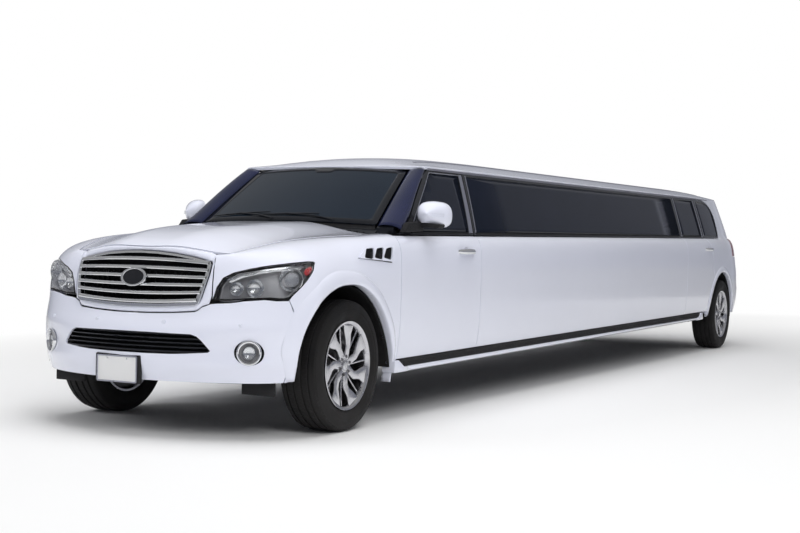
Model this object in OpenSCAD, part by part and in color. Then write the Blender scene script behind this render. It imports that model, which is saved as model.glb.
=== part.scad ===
// Stretch limousine on a full-size sport utility body.
// Frame: +Z up, the car faces -Y, +X is its left side. The origin is under the middle of the car.
// Lengths along the car are counted from the front axle as s, rearward positive, and the
// body rises slightly towards the rear, so body heights h are turned into z by lift().

/* [Overall] */
// Distance between the two axles
wheelbase = 9175; // [8000:5:11010]
// Front axle to the nose
front_overhang = 985; // [940:5:1100]
// Rear axle to the tail
rear_overhang = 1230; // [1180:5:1400]
// Width of the body at its widest panel
body_w = 2006; // [1960:2:2400]
// Rise of the body per metre of length
rake = 7.5; // [0:0.5:9]

/* [Wheels] */
// Outer diameter of a tyre
tyre_d = 830; // [700:2:860]
// Width of a tyre
tyre_w = 275; // [235:5:290]
// Diameter of the rim where the tyre sits
rim_d = 530; // [480:5:600]
// Distance between the tyre centres of an axle
track = 1715; // [1690:5:1740]
// Diameter of the wheel's centre bore
hub_bore_d = 87; // [60:1:110]
// Pitch circle of the wheel bolts
stud_pcd = 135; // [120:1:150]
// Number of wheel bolts
stud_n = 6; // [5:1:8]
// Steering angle each way
steer_max = 32; // [20:1:34]

/* [Panels] */
// Thickness of a door below the window line
door_t = 74; // [50:2:90]
// Thickness of the window frames and of the roof
frame_t = 38; // [30:1:46]
// Thickness of hood, fenders and bumpers
skin_t = 26; // [18:1:32]
// Gap between a moving panel and its neighbour
shut_gap = 9; // [7:1:12]
// Thickness of the window glass
glass_t = 6; // [4:1:8]
// Clearance round a pane in its opening
glass_gap = 2; // [1:0.5:4]
// Opening angle of the doors
door_open = 65; // [45:1:68]
// Opening angle of the hood
hood_open = 48; // [30:1:52]
// Opening angle of the tailgate
gate_open = 78; // [60:1:85]

/* [Cabin] */
// Height of the window line above the ground at the front axle
belt_h = 1238; // [1220:2:1260]
// Height of the side roof edge
eave_h = 1742; // [1730:2:1760]
// Height of the roof's middle
roof_h = 1857; // [1840:1:1900]
// Half width of the cabin at the window line
belt_x = 925; // [905:1:940]
// Half width of the cabin at the roof edge
eave_x = 762; // [735:1:770]
// Top of the cabin floor
floor_z = 560; // [520:5:600]
// Front door, front edge from the front axle
door_f0 = 668; // [660:2:700]
// Length of the front door
door_f_len = 1308; // [1200:2:1360]
// Rear door, front edge ahead of the rear axle
door_r0 = 1575; // [1500:2:1620]
// Rear door, rear edge ahead of the rear axle
door_r1 = 500; // [480:2:540]
// Rear door, rear edge of its window frame ahead of the rear axle
door_r2 = 668; // [640:2:700]
// Rearward lean of the pillars over the window height
pillar_lean = 96; // [0:2:110]

/* [Chassis] */
// Height of a frame rail
rail_h = 150; // [120:5:180]
// Width of a frame rail
rail_w = 76; // [60:2:90]
// Half distance between the rails' outer faces
rail_x = 470; // [440:2:480]
// Underside of the frame rails
rail_z = 330; // [300:5:350]
// Driveshaft diameter
shaft_d = 90; // [70:2:110]
// Exhaust pipe diameter
pipe_d = 70; // [55:1:80]
// Bore of the rear recovery socket
socket_d = 32; // [28:1:40]

/* [Hidden] */
$fn = 48;

y0 = -(front_overhang + wheelbase + rear_overhang) / 2 + front_overhang;   // front axle
wb = wheelbase;
hub_z = tyre_d / 2;
w0 = body_w / 2;
wheel_x = track / 2;
mid_h = 850;             // the side is flat below this height and rounds over above it
sill_h = 330;            // lower edge of the body skin
door_h = 408;            // lower edge of the doors
nose_s = -400;           // the plan curve of the nose starts here
tail_s = wb + 450;       // and the plan curve of the tail starts here
door_f1 = door_f0 + door_f_len;
hinge_x = w0 + 3;        // door hinge lines stand just outside the widest panel
arch_r = hub_z + 92;     // wheel arch radius
hood_s1 = 720;           // rear edge of the hood
win_top = eave_h - 50;   // top edge of the side windows
frame_top = win_top + 16; // top edge of the doors
wall_top = eave_h - 30;  // top edge of the fixed side walls

function lift(s) = rake * s / 1000;
function pw(b, e) = b <= 0 ? 0 : pow(b, e);
function mix(a, b, t) = a + (b - a) * t;
function sstep(a, b, x) = let(t = min(1, max(0, (x - a) / (b - a)))) t * t * (3 - 2 * t);
// side outline points (s, h) to (y, z)
function side(pts) = [for (p = pts) [y0 + p[0], p[1] + lift(p[0])]];

// Height of the fender's inner edge, of the hood's middle line and of the window line, along s
function edge_h(s) = s >= door_f0 ? mix(belt_h, belt_h + 26, (s - door_f0) / (wb - door_f0))
    : lookup(s, [[-985, 1050], [-800, 1086], [-720, 1110], [-530, 1152], [-300, 1190],
        [0, 1214], [380, 1230], [door_f0, belt_h]]);
function crown_h(s) = lookup(s, [[-985, 1070], [-860, 1110], [-800, 1150], [-700, 1192],
    [-500, 1240], [-250, 1272], [0, 1290], [400, 1313], [720, 1322]]);
// Half width of the hood's shut line
function edge_x(s) = lookup(s, [[-985, 440], [-800, 535], [-720, 570], [-500, 640], [-200, 700],
    [100, 735], [500, 760], [800, 770]]);
function edge_p(s) = mix(2.5, 5, sstep(-100, door_f0, s));
// Height where the rounded shoulder of the body reaches that inner edge
function top_h(s) = edge_h(s) + 8 * sstep(300, door_f0, s);
// Tuck of the lower side
function tuck(h) = lookup(h, [[sill_h, 46], [400, 31], [500, 15], [650, 4], [mid_h, 0]]);
// Narrowing of the body towards the tail
function taper(s, h) = sstep(wb - 700, wb + 900, s) * mix(10, 62, sstep(700, 1250, h));
// Half width of the body skin at s and h, up to the window line
function skin_x(s, h) = (h <= mid_h ? w0 - tuck(h) : let(q = edge_x(s), p = edge_p(s))
    q + (w0 - q) * pw(1 - pw(min(1, (h - mid_h) / (top_h(s) - mid_h)), p), 1 / p)) - taper(s, h);
// Half width of the cabin at the side glass
function cabin_x(s, h) = belt_x - taper(s, h)
    - (belt_x - eave_x) * pw(max(0, (h - belt_h) / (eave_h - belt_h)), 1.12);
// Full side: body skin, then cabin above the window line
function side_x(s, h) = h < edge_h(s) - 12 ? max(skin_x(s, h), cabin_x(s, h)) : cabin_x(s, h);
// Reach of the nose and of the tail at height h, from where their plan curves start
function nose_a(h) = front_overhang - 985 + nose_s + lookup(h, [[sill_h, 925], [450, 962],
    [550, 970], [660, 962], [740, 925], [800, 900], [mid_h, 885]]);
function tail_a(h) = rear_overhang - 1230 - 450 + lookup(h, [[sill_h, 1190], [430, 1218],
    [550, 1230], [650, 1222], [700, 1150], [900, 1130], [1150, 1100], [1270, 1075],
    [1500, 985], [1700, 885], [1860, 780]]);

// Point of the outer skin. u: 0 nose middle, 1 start of the nose curve, 2 start of the tail
// curve, 3 tail middle. h: height. t: distance inward.
function nose_pt(u, h, t) = let(f = 90 * (1 - u), w = skin_x(nose_s, h) - t, a = nose_a(h) - t,
    s = nose_s - a * sin(f)) [w * cos(f), y0 + s, h + lift(s)];
function tail_pt(u, h, t) = let(f = 90 * (u - 2), w = side_x(tail_s, h) - t, a = tail_a(h) - t,
    s = tail_s + a * pw(sin(f), 0.62)) [w * pw(cos(f), 0.62), y0 + s, h + lift(s)];
function side_pt(s, h, t) = [side_x(s, h) - t, y0 + s, h + lift(s)];

// Closed solid between two grids of points, o (outer) and i (inner), rows by columns
module slab(o, i) {
    r = len(o); c = len(o[0]); n = r * c;
    pts = concat([for (a = o) each a], [for (a = i) each a]);
    function id(a, b) = a * c + b;
    quads = concat(
        [for (a = [0 : r - 2], b = [0 : c - 2]) each
            [[id(a, b), id(a, b + 1), id(a + 1, b + 1)], [id(a, b), id(a + 1, b + 1), id(a + 1, b)]]],
        [for (a = [0 : r - 2], b = [0 : c - 2]) each
            [[n + id(a, b), n + id(a + 1, b + 1), n + id(a, b + 1)],
             [n + id(a, b), n + id(a + 1, b), n + id(a + 1, b + 1)]]],
        [for (a = [0 : r - 2]) each
            [[id(a, 0), id(a + 1, 0), n + id(a + 1, 0)], [id(a, 0), n + id(a + 1, 0), n + id(a, 0)],
             [id(a, c - 1), n + id(a + 1, c - 1), id(a + 1, c - 1)],
             [id(a, c - 1), n + id(a, c - 1), n + id(a + 1, c - 1)]]],
        [for (b = [0 : c - 2]) each
            [[id(0, b), n + id(0, b + 1), id(0, b + 1)], [id(0, b), n + id(0, b), n + id(0, b + 1)],
             [id(r - 1, b), id(r - 1, b + 1), n + id(r - 1, b + 1)],
             [id(r - 1, b), n + id(r - 1, b + 1), n + id(r - 1, b)]]]);
    polyhedron(pts, quads, convexity = 6);
}
// Side outline extruded across one side of the car
module side_prism(pts, x0 = 300, x1 = 1200, g = 0) {
    translate([x0, 0, 0]) rotate([90, 0, 90]) linear_extrude(x1 - x0) offset(delta = g) polygon(side(pts));
}
// Front outline (x, z) extruded along the car between two stations
module front_prism(pts, s0, s1) {
    translate([0, y0 + s1, 0]) rotate([90, 0, 0]) linear_extrude(s1 - s0) polygon(pts);
}
module both() { children(); mirror([1, 0, 0]) children(); }
module block(x0, x1, s0, s1, z0, z1) {
    translate([x0, y0 + s0, z0]) cube([x1 - x0, s1 - s0, z1 - z0]);
}
// Tube or rod across the car
module rod_x(x0, x1, s, z, d) {
    translate([x0, y0 + s, z]) rotate([0, 90, 0]) cylinder(h = x1 - x0, d = d);
}

// Side wall between two stations, all heights from h0 to h1
module side_skin(s0, s1, h0, h1, t_low, t_high, off = 0) {
    hs = concat([for (h = [h0, 400, 500, 650, mid_h, 980, 1080, 1150, 1195, belt_h - 14])
        if (h >= h0 && h < min(h1, belt_h)) h],
        [for (h = [belt_h + 30, 1350, 1450, 1550, 1650, 1720]) if (h > h0 && h < h1) h], [h1]);
    n = max(1, ceil((s1 - s0) / 1500));
    ss = [for (k = [0 : n]) mix(s0, s1, k / n)];
    slab([for (s = ss) [for (h = hs) side_pt(s, h, off)]],
         [for (s = ss) [for (h = hs) side_pt(s, h, (h < belt_h ? t_low : t_high) + off)]]);
}

// Outlines, as (s, h)
function arch(s0, r) = [for (a = [-20 : 12.5 : 205]) [s0 + r * cos(a) * (a > 90 ? 1.13 : 1),
    hub_z + r * sin(a) - lift(s0)]];
function rear_arch(r) = arch(wb, r);
lean = pillar_lean;
front_door_line = [[door_f0, door_h], [door_f0, belt_h - 6], [945 - 62, belt_h + 32],
    [1130, 1478], [1340, 1636], [1452, frame_top], [door_f1 + lean - 10, frame_top],
    [door_f1 + 10, belt_h + 30], [door_f1, 1150], [door_f1 - 14, 850], [door_f1 - 14, door_h]];
front_pane_line = [[945, belt_h + 34], [1170, 1446], [1350, 1582], [1490, win_top],
    [door_f1 + lean - 88, win_top], [door_f1 - 84, belt_h + 34]];
s_rd0 = wb - door_r0;
s_rd1 = wb - door_r1;
s_rd2 = wb - door_r2;
rear_door_line = concat([[s_rd0, door_h], [s_rd0, belt_h + 10], [s_rd0 + lean - 30, frame_top],
    [s_rd2 + 20, frame_top], [s_rd2, belt_h + 40], [s_rd1 - 30, 1160], [s_rd1, 1060], [s_rd1, 960]],
    [for (a = [128 : 8 : 176]) [wb + (arch_r + 62) * 1.13 * cos(a),
        hub_z + (arch_r + 62) * sin(a) - lift(wb)]], [[wb - (arch_r + 62) * 1.13, door_h]]);
rear_pane_line = [[s_rd0 + 62, belt_h + 56], [s_rd0 + lean + 30, win_top], [s_rd2 - 50, win_top],
    [s_rd2 - 76, belt_h + 56]];
long_pane_line = [[door_f1 + 68, belt_h + 34], [door_f1 + lean + 66, win_top],
    [s_rd0 + lean - 46, win_top], [s_rd0 - 16 - 44, belt_h + 52]];
quarter_pane_line = [[s_rd2 + 64, belt_h + 54], [s_rd2 + 96, win_top - 2], [wb - 200, win_top - 8],
    [wb + 60, win_top - 40], [wb + 190, 1600], [wb + 212, 1500], [wb + 150, belt_h + 60],
    [wb + 90, belt_h + 54]];

module pane(line, s0, s1) {
    intersection() {
        side_skin(s0, s1, belt_h + 10, eave_h - 4, glass_t, glass_t, 10);
        side_prism(line);
    }
}
// ---- running gear ----
module tyre(x) {
    bead = rim_d / 2 + 2; r = tyre_d / 2; hw = tyre_w / 2;
    translate([x, 0, 0]) rotate([0, 90, 0]) rotate_extrude($fn = 96)
        polygon([[bead, -hw + 38], [bead + 20, -hw + 22], [r - 90, -hw], [r - 46, -hw + 4],
            [r - 8, -hw + 30], [r, -hw + 52], [r, hw - 52], [r - 8, hw - 30], [r - 46, hw - 4],
            [r - 90, hw], [bead + 20, hw - 22], [bead, hw - 38]]);
}
// Rim with its disc on the outer side (side = 1 on the left, -1 on the right)
module rim(x, sd) {
    r = rim_d / 2; hw = tyre_w / 2 - 30;
    translate([x, 0, 0]) rotate([0, 90, 0]) difference() {
        union() {
            rotate_extrude($fn = 96) polygon([[r - 26, -hw], [r + 1, -hw], [r + 1, hw], [r - 26, hw]]);
            translate([0, 0, sd > 0 ? hw - 70 : -hw + 34]) cylinder(h = 36, r = r - 20);
            translate([0, 0, sd > 0 ? 28 : -hw + 34]) cylinder(h = hw - 62, r = stud_pcd / 2 + 24);
        }
        for (k = [0 : 11]) rotate([0, 0, k * 30]) translate([0, 0, -hw - 5]) linear_extrude(2 * hw + 10)
            polygon([[stud_pcd / 2 + 32, -12], [r - 40, -40], [r - 40, 40], [stud_pcd / 2 + 32, 12]]);
        translate([0, 0, -hw - 5]) cylinder(h = 2 * hw + 10, d = hub_bore_d);
        for (k = [0 : stud_n - 1]) rotate([0, 0, (k + 0.5) * 360 / stud_n])
            translate([stud_pcd / 2, 0, -hw - 5]) cylinder(h = 2 * hw + 10, d = 15);
    }
}
king_x = wheel_x - 88;   // steering axis

module at_front() { translate([0, y0, hub_z]) children(); }
module at_rear() { translate([0, y0 + wb, hub_z]) children(); }

arm_z = [-92, 94];       // top of the lower arm and underside of the upper arm, from the hub
spindle_d = hub_bore_d - 8;
module knuckle() {
    color("dimgray") at_front() {
        translate([king_x, 0, arm_z[0] + 2]) cylinder(h = arm_z[1] - arm_z[0] - 4, d = 52);
        translate([king_x - 20, -60, -80]) cube([58, 120, 160]);
        translate([king_x + 20, 0, 0]) rotate([0, 90, 0]) cylinder(h = 30, d = 150);
        translate([king_x - 30, 40, -60]) cube([34, 130, 34]);
        // wheel spindle
        translate([king_x + 30, 0, 0]) rotate([0, 90, 0])
            cylinder(h = wheel_x + 60 - king_x - 30, d = spindle_d);
        // brake disc
        translate([king_x + 50, 0, 0]) rotate([0, 90, 0]) cylinder(h = 30, d = rim_d - 190, $fn = 64);
    }
}
module front_tyre_left() { color("black") at_front() tyre(wheel_x); }
module front_rim_left() { color("silver") at_front() rim(wheel_x, 1); }
module front_tyre_right() { color("black") at_front() tyre(-wheel_x); }
module front_rim_right() { color("silver") at_front() rim(-wheel_x, -1); }
module rear_tyre_left() { color("black") at_rear() tyre(wheel_x); }
module rear_rim_left() { color("silver") at_rear() rim(wheel_x, 1); }
module rear_tyre_right() { color("black") at_rear() tyre(-wheel_x); }
module rear_rim_right() { color("silver") at_rear() rim(-wheel_x, -1); }
module knuckle_left() { knuckle(); }
module knuckle_right() { mirror([1, 0, 0]) knuckle(); }

// ---- chassis ----
kick_z = hub_z + 85;     // the rails rise to this height over the rear axle
rail_line = [[-620, rail_z], [wb - 540, rail_z], [wb - 400, kick_z], [wb + 400, kick_z],
    [wb + 520, rail_z], [wb + 1020, rail_z], [wb + 1020, rail_z + rail_h], [wb + 560, rail_z + rail_h],
    [wb + 440, kick_z + 90], [wb - 440, kick_z + 90], [wb - 580, rail_z + rail_h],
    [-620, rail_z + rail_h]];
cross_s = [-560, 620, 2400, 4600, 6800, wb - 700, wb + 620, wb + 960];
module chassis_frame() {
    color([0.12, 0.12, 0.13]) {
        both() translate([rail_x - rail_w, y0, 0]) rotate([90, 0, 90]) linear_extrude(rail_w)
            polygon(rail_line);
        for (s = cross_s) block(-rail_x + rail_w, rail_x - rail_w, s - 40, s + 40,
            rail_z + rail_h - 60, rail_z + rail_h);
        // rear recovery socket across the last cross member
        difference() {
            block(-42, 42, wb + 999, wb + 1089, socket_z - 42, socket_z + 42);
            translate([0, y0 + wb + 1000, socket_z]) rotate([-90, 0, 0]) cylinder(h = 120, d = socket_d);
        }
    }
}
module floor_pan() {
    color([0.2, 0.2, 0.21]) difference() {
        union() {
            block(-880, 880, 720, wb - 640, floor_z - 40, floor_z);
            block(-550, 550, wb - 640, wb + 960, floor_z + 60, floor_z + 100);
            block(-550, 550, wb - 660, wb - 620, floor_z - 40, floor_z + 100);
            block(-880, 880, 700, 740, floor_z - 40, edge_h(720) - 60);
        }
        block(-150, 150, 690, 750, floor_z - 60, floor_z + 160);
    }
}
module engine_block() { color("gray") block(-330, 330, -430, 400, 500, 1080); }
shaft_z = rail_z + 30;   // the shaft and the exhaust run below the cross members
module driveshaft() {
    color("silver") {
        block(-145, 145, 410, 698, 500, 700);
        translate([0, y0 + 700, shaft_z]) rotate([-90, 0, 0]) cylinder(h = wb - 700 - 152, d = shaft_d);
        block(-70, 70, 665, 760, shaft_z - 40, 502);
        // centre bearings under the cross members
        for (s = [2400, 4600, 6800]) block(-90, 90, s - 30, s + 30, shaft_z - 60, rail_z + rail_h - 62);
    }
}
module exhaust() {
    color("silver") {
        translate([-240, y0 + 500, shaft_z + 18]) rotate([-90, 0, 0]) cylinder(h = 6400, d = pipe_d);
        translate([-240, y0 + 5200, shaft_z + 18]) rotate([-90, 0, 0]) cylinder(h = 900, d = 190);
    }
}
module fuel_tank() {
    color([0.1, 0.1, 0.1]) block(rail_x - rail_w - 330, rail_x - rail_w - 12, wb - 2300, wb - 1100,
        rail_z - 10, rail_z + 75);
}
module front_suspension() {
    color("dimgray") both() {
        block(rail_x + 2, king_x + 26, -40, 40, hub_z + arm_z[0] - 30, hub_z + arm_z[0]);
        block(rail_x + 2, king_x + 26, -40, 40, hub_z + arm_z[1], hub_z + arm_z[1] + 26);
        translate([rail_x + 60, y0, hub_z + arm_z[0] - 1]) cylinder(h = arm_z[1] - arm_z[0] + 2, d = 90);
    }
}
module rear_axle() {
    color([0.15, 0.15, 0.16]) {
        rod_x(-wheel_x + 60, wheel_x - 60, wb, hub_z, 84);
        translate([0, y0 + wb, hub_z]) rotate([90, 0, 0]) cylinder(h = 300, d = 270, center = true);
        both() {
            rod_x(wheel_x - 62, wheel_x - 8, wb, hub_z, rim_d - 190);
            rod_x(wheel_x - 10, wheel_x + 60, wb, hub_z, spindle_d);
        }
    }
}

// ---- body panels ----
// Fender: below mid_h the plan curve A, above it a rounded loft from A to the hood's edge B
fender_v = [0, 0.15, 0.4, 0.7, 1, 1.15, 1.3, 1.45, 1.6, 1.75, 1.88, 2];
fender_s = [nose_s, -200, 0, 200, 400, door_f0 - shut_gap];
fender_u = [0.34, 0.4, 0.48, 0.57, 0.66, 0.75, 0.84, 0.92, 1];
function edge_u(u) = [lookup(u, [[0.34, 490], [0.48, 570], [0.7, edge_x(-600)], [1, edge_x(nose_s)]]),
    lookup(u, [[0.34, -745], [0.48, -722], [0.7, -600], [1, nose_s]])];
function fender_side(s, v, t) = v <= 1
    ? let(h = mix(sill_h, mid_h, v)) [skin_x(s, h) - t, y0 + s, h + lift(s)]
    : let(f = 90 * (v - 1), k = 2 / edge_p(s)) [mix(edge_x(s), w0 - t, pw(cos(f), k)), y0 + s,
        mix(mid_h, top_h(s) - t, pw(sin(f), k)) + lift(s)];
function fender_pt(u, v, t) = v <= 1 ? nose_pt(u, mix(sill_h, mid_h, v), t)
    : let(f = 90 * (v - 1), k = 2 / mix(1.8, edge_p(nose_s), sstep(0.3, 1, u)), a = nose_pt(u, mid_h, t),
        b = edge_u(u), c = pw(cos(f), k)) [mix(b[0], a[0], c), y0 + mix(b[1], a[1] - y0, c),
        mix(mid_h, edge_h(b[1]) - t, pw(sin(f), k)) + lift(b[1])];
module half_fender() {
    difference() {
        union() {
            slab([for (u = fender_u) [for (v = fender_v) fender_pt(u, v, 0)]],
                 [for (u = fender_u) [for (v = fender_v) fender_pt(u, v, skin_t)]]);
            slab([for (s = fender_s) [for (v = fender_v) fender_side(s, v, 0)]],
                 [for (s = fender_s) [for (v = fender_v) fender_side(s, v, skin_t)]]);
        }
        side_prism(arch(0, arch_r), 500);
        side_prism([[-1100, 200], [-1100, 842], [-594, 842], [-568, 684], [-580, 541], [-602, 372],
            [-602, 200]], 100);
        headlight_cut(0);
        // the door's front edge leaves a gap below the windshield's corner
        side_prism([[door_f0 - shut_gap, 200], [door_f0 - shut_gap, 1500], [1200, 1500], [1200, 200]], 100);
    }
}
lamp_line = [[532, 842], [547, 908], [580, 964], [637, 997], [717, 1021], [791, 1038], [880, 1052],
    [940, 1058], [962, 1034], [955, 953], [935, 890], [910, 845]];
module headlight_cut(g) {
    c = [760, 930];
    front_prism([for (p = lamp_line) [c[0] + (p[0] - c[0]) * (1 + g), c[1] + (p[1] - c[1]) * (1 + g)]],
        -1000, -380);
}
module front_fender_left() { color("white") half_fender(); }
module front_fender_right() { color("white") mirror([1, 0, 0]) half_fender(); }

hood_q = [1, 0.92, 0.8, 0.65, 0.5, 0.36, 0.15, 0, -0.15, -0.36, -0.5, -0.65, -0.8, -0.92, -1];
hood_st = [-712, -660, -550, -350, -100, 200, 500, hood_s1];
function hood_pt(s, q, t) = let(w = edge_x(s) - shut_gap,
    sc = s - (1 - q * q) * (s < -400 ? 92 * (-400 - s) / 312 : s > 400 ? 60 * (s - 400) / 320 : 0))
    [w * q, y0 + sc, mix(edge_h(s) + 2, crown_h(sc), 1 - sstep(0.3, 0.97, abs(q))) + lift(sc) - t];
module hood() {
    color("white") {
        slab([for (s = hood_st) [for (q = hood_q) hood_pt(s, q, 0)]],
             [for (s = hood_st) [for (q = hood_q) hood_pt(s, q, skin_t)]]);
    }
}
// Windshield: straight lines from the cowl to the roof
function shield_pt(q, v, t) = let(x = q * mix(731, 640, v),
    s = mix(700 + 112 * q * q, 1388 + 50 * q * q, v),
    h = mix(mix(1322, 1300, q * q), mix(1736, 1708, q * q), v) + 26 * v * (1 - v))
    [x, y0 + s + t * 0.5, h + lift(s) - t * 0.85];
shield_q = [1, 0.8, 0.6, 0.4, 0.2, 0, -0.2, -0.4, -0.6, -0.8, -1];
module windshield() {
    vs = [for (v = [0, 0.25, 0.5, 0.75, 1]) mix(0.03, 0.97, v)];
    color([0.2, 0.26, 0.3, 0.6]) slab([for (v = vs) [for (q = shield_q) shield_pt(q, v, 0)]],
        [for (v = vs) [for (q = shield_q) shield_pt(q, v, glass_t)]]);
}
// Pillars beside the windshield, the cowl below it and the roof bow above it
module windshield_frame() {
    color([0.1, 0.1, 0.12]) {
        both() {
            hull() { pillar_end(0.0); pillar_end(0.5); }
            hull() { pillar_end(0.5); pillar_end(1.0); }
            // corner piece between hood, door and windshield
            side_prism([[door_f0 - shut_gap + 4, belt_h - 30], [door_f0 - shut_gap + 4, belt_h - 2],
                [840, belt_h + 40], [870, belt_h + 20], [door_f0 + 30, belt_h - 20]],
                edge_x(hood_s1) + 2, belt_x - door_t - 10);
        }
        slab([for (k = [0, 1]) [for (q = shield_q) cowl_pt(q, k, 0)]],
             [for (k = [0, 1]) [for (q = shield_q) cowl_pt(q, k, 30)]]);
    }
}
// Cowl between the rear edge of the hood and the windshield
function cowl_pt(q, k, t) = [q * 735, y0 + mix(hood_s1 - 60 + shut_gap + 62 * q * q, 716 + 112 * q * q, k),
    mix(1300 - 66 * sstep(0.3, 0.97, abs(q)), 1308 - 20 * q * q, k) - t];
module pillar_end(v) {
    p = shield_pt(1, v, 0); s = p[1] - y0;
    w = cabin_x(s, p[2] - lift(s)) - p[0] - frame_t - 12;
    translate([p[0] + 4, p[1] - 16, p[2] - 56]) cube([max(20, w), 28, 42]);
}

socket_z = rail_z + rail_h - 44;   // height of the recovery socket
gate_s = wb + 752;       // hinge line of the tailgate, at the rear edge of the roof
function roof_w(s) = s <= tail_s ? cabin_x(s, eave_h) + 4 : 4 + cabin_x(tail_s, eave_h)
    * pw(1 - pw((s - tail_s) / tail_a(eave_h), 2 / 0.62), 0.31);
function roof_top(s) = lookup(s, [[1388, 1741], [1500, 1770], [1700, 1810], [2000, 1836],
    [2500, roof_h - 6], [3200, roof_h], [wb - 600, roof_h], [wb + 200, roof_h - 12],
    [wb + 820, roof_h - 50]]);
function roof_pt(s, q, t) = let(f = sstep(1300, 1440, s), e = eave_h - 14 * (1 - f))
    [roof_w(s) * q, y0 + s + (s < 1400 ? 50 * q * q : 0),
        mix(roof_top(s), e, pw(abs(q), 2.5)) + lift(s) - t * (abs(q) > (s < 1800 ? 0.94 : 0.97) ? 0.45 : 1)];
roof_st = [1396, 1500, 1700, 2000, 2500, 3200, 5500, wb - 600, wb + 200, tail_s, wb + 600,
    gate_s - shut_gap];
roof_q = [1, 0.95, 0.85, 0.7, 0.5, 0.25, 0, -0.25, -0.5, -0.7, -0.85, -0.95, -1];
module roof_panel() {
    color("white") slab([for (s = roof_st) [for (q = roof_q) roof_pt(s, q, 0)]],
        [for (s = roof_st) [for (q = roof_q) roof_pt(s, q, frame_t)]]);
}

module half_side_wall() {
    difference() {
        intersection() {
            side_skin(door_f1 - 20, s_rd0 + lean, door_h, wall_top, door_t, frame_t);
            side_prism([[door_f1 - 14 + shut_gap, 200], [door_f1 - 14 + shut_gap, 850],
                [door_f1 + shut_gap, 1150], [door_f1 + 12 + shut_gap, belt_h + 30],
                [door_f1 + lean + 6, frame_top], [door_f1 + lean + 10, eave_h + 18],
                [s_rd0 + lean - 30 - shut_gap, eave_h + 18], [s_rd0 - shut_gap, belt_h + 10],
                [s_rd0 - shut_gap, 200]]);
        }
        side_prism(long_pane_line, g = glass_gap);
    }
}
module side_wall_left() { color("white") half_side_wall(); }
module side_wall_right() { color("white") mirror([1, 0, 0]) half_side_wall(); }

module half_quarter() {
    difference() {
        intersection() {
            union() {
                side_skin(s_rd2, tail_s, sill_h, wall_top, door_t, frame_t);
                slab([for (k = [0 : 8]) [for (h = quarter_h) tail_pt(2 + k * 0.09, h, 0)]],
                     [for (k = [0 : 8]) [for (h = quarter_h)
                         tail_pt(2 + k * 0.09, h, h < belt_h ? door_t : frame_t)]]);
            }
            side_prism([[wb - 900, sill_h - 90], [wb - 900, 1900], [wb + 1300, 1900], [wb + 1300, 680],
                [wb + 1096, 680], [wb + 700, 640], [wb + 700, sill_h - 90]], 200);
        }
        side_prism(grow_door(rear_door_line, shut_gap));
        side_prism(arch(wb, arch_r));
        side_prism(quarter_pane_line, g = glass_gap);
        block(620, 1100, wb + 560, wb + 1400, 1036, 1266);
        front_prism(grow2(raise(gate_line), shut_gap), wb + 600, wb + 1500);
    }
}
quarter_h = [sill_h, 400, 500, 650, mid_h, 980, 1080, 1150, 1195, belt_h - 14, belt_h + 30, 1350, 1450,
    1550, 1650, wall_top];
function grow_door(l, g) = [for (p = l) [p[0] + (p[0] < s_rd0 + 80 ? -30 : p[1] > 1650 ? g + 12 : g),
    p[1] + (p[1] > 1650 ? 60 : p[1] < 500 ? -100 : 0)]];
module rear_quarter_left() { color("white") half_quarter(); }
module rear_quarter_right() { color("white") mirror([1, 0, 0]) half_quarter(); }

module half_front_door() {
    difference() {
        intersection() {
            side_skin(door_f0, door_f1 + lean, door_h, eave_h - 8, door_t, frame_t);
            side_prism(front_door_line);
        }
        side_prism(front_pane_line, g = glass_gap);
    }
}
module half_rear_door() {
    difference() {
        intersection() {
            side_skin(s_rd0, s_rd1, door_h, eave_h - 8, door_t, frame_t);
            side_prism(rear_door_line);
        }
        side_prism(rear_pane_line, g = glass_gap);
    }
}
module front_door_left() { color("white") half_front_door(); }
module front_door_right() { color("white") mirror([1, 0, 0]) half_front_door(); }
module rear_door_left() { color("white") half_rear_door(); }
module rear_door_right() { color("white") mirror([1, 0, 0]) half_rear_door(); }
module front_door_glass_left() {
    color([0.1, 0.1, 0.12, 0.7]) pane(front_pane_line, door_f0 + 100, door_f1 + lean);
}
module front_door_glass_right() { mirror([1, 0, 0]) front_door_glass_left(); }
module rear_door_glass_left() {
    color([0.1, 0.1, 0.12, 0.7]) pane(rear_pane_line, s_rd0, s_rd1);
}
module rear_door_glass_right() { mirror([1, 0, 0]) rear_door_glass_left(); }
module side_windows() {
    color([0.1, 0.1, 0.12, 0.7]) both() {
        pane(long_pane_line, door_f1, s_rd0 + lean);
        pane(quarter_pane_line, s_rd2, wb + 300);
    }
}
module mirror_left() {
    color("white") {
        hull() {
            block(belt_x + 4, w0 + 109, 1000, 1118, 1302, 1478);
            block(belt_x + 4, w0 + 57, 945, 1100, 1310, 1492);
        }
        block(belt_x + 6, belt_x + 44, 770, 1000, belt_h + 36, 1340);
    }
}
module mirror_right() { mirror([1, 0, 0]) mirror_left(); }

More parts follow.
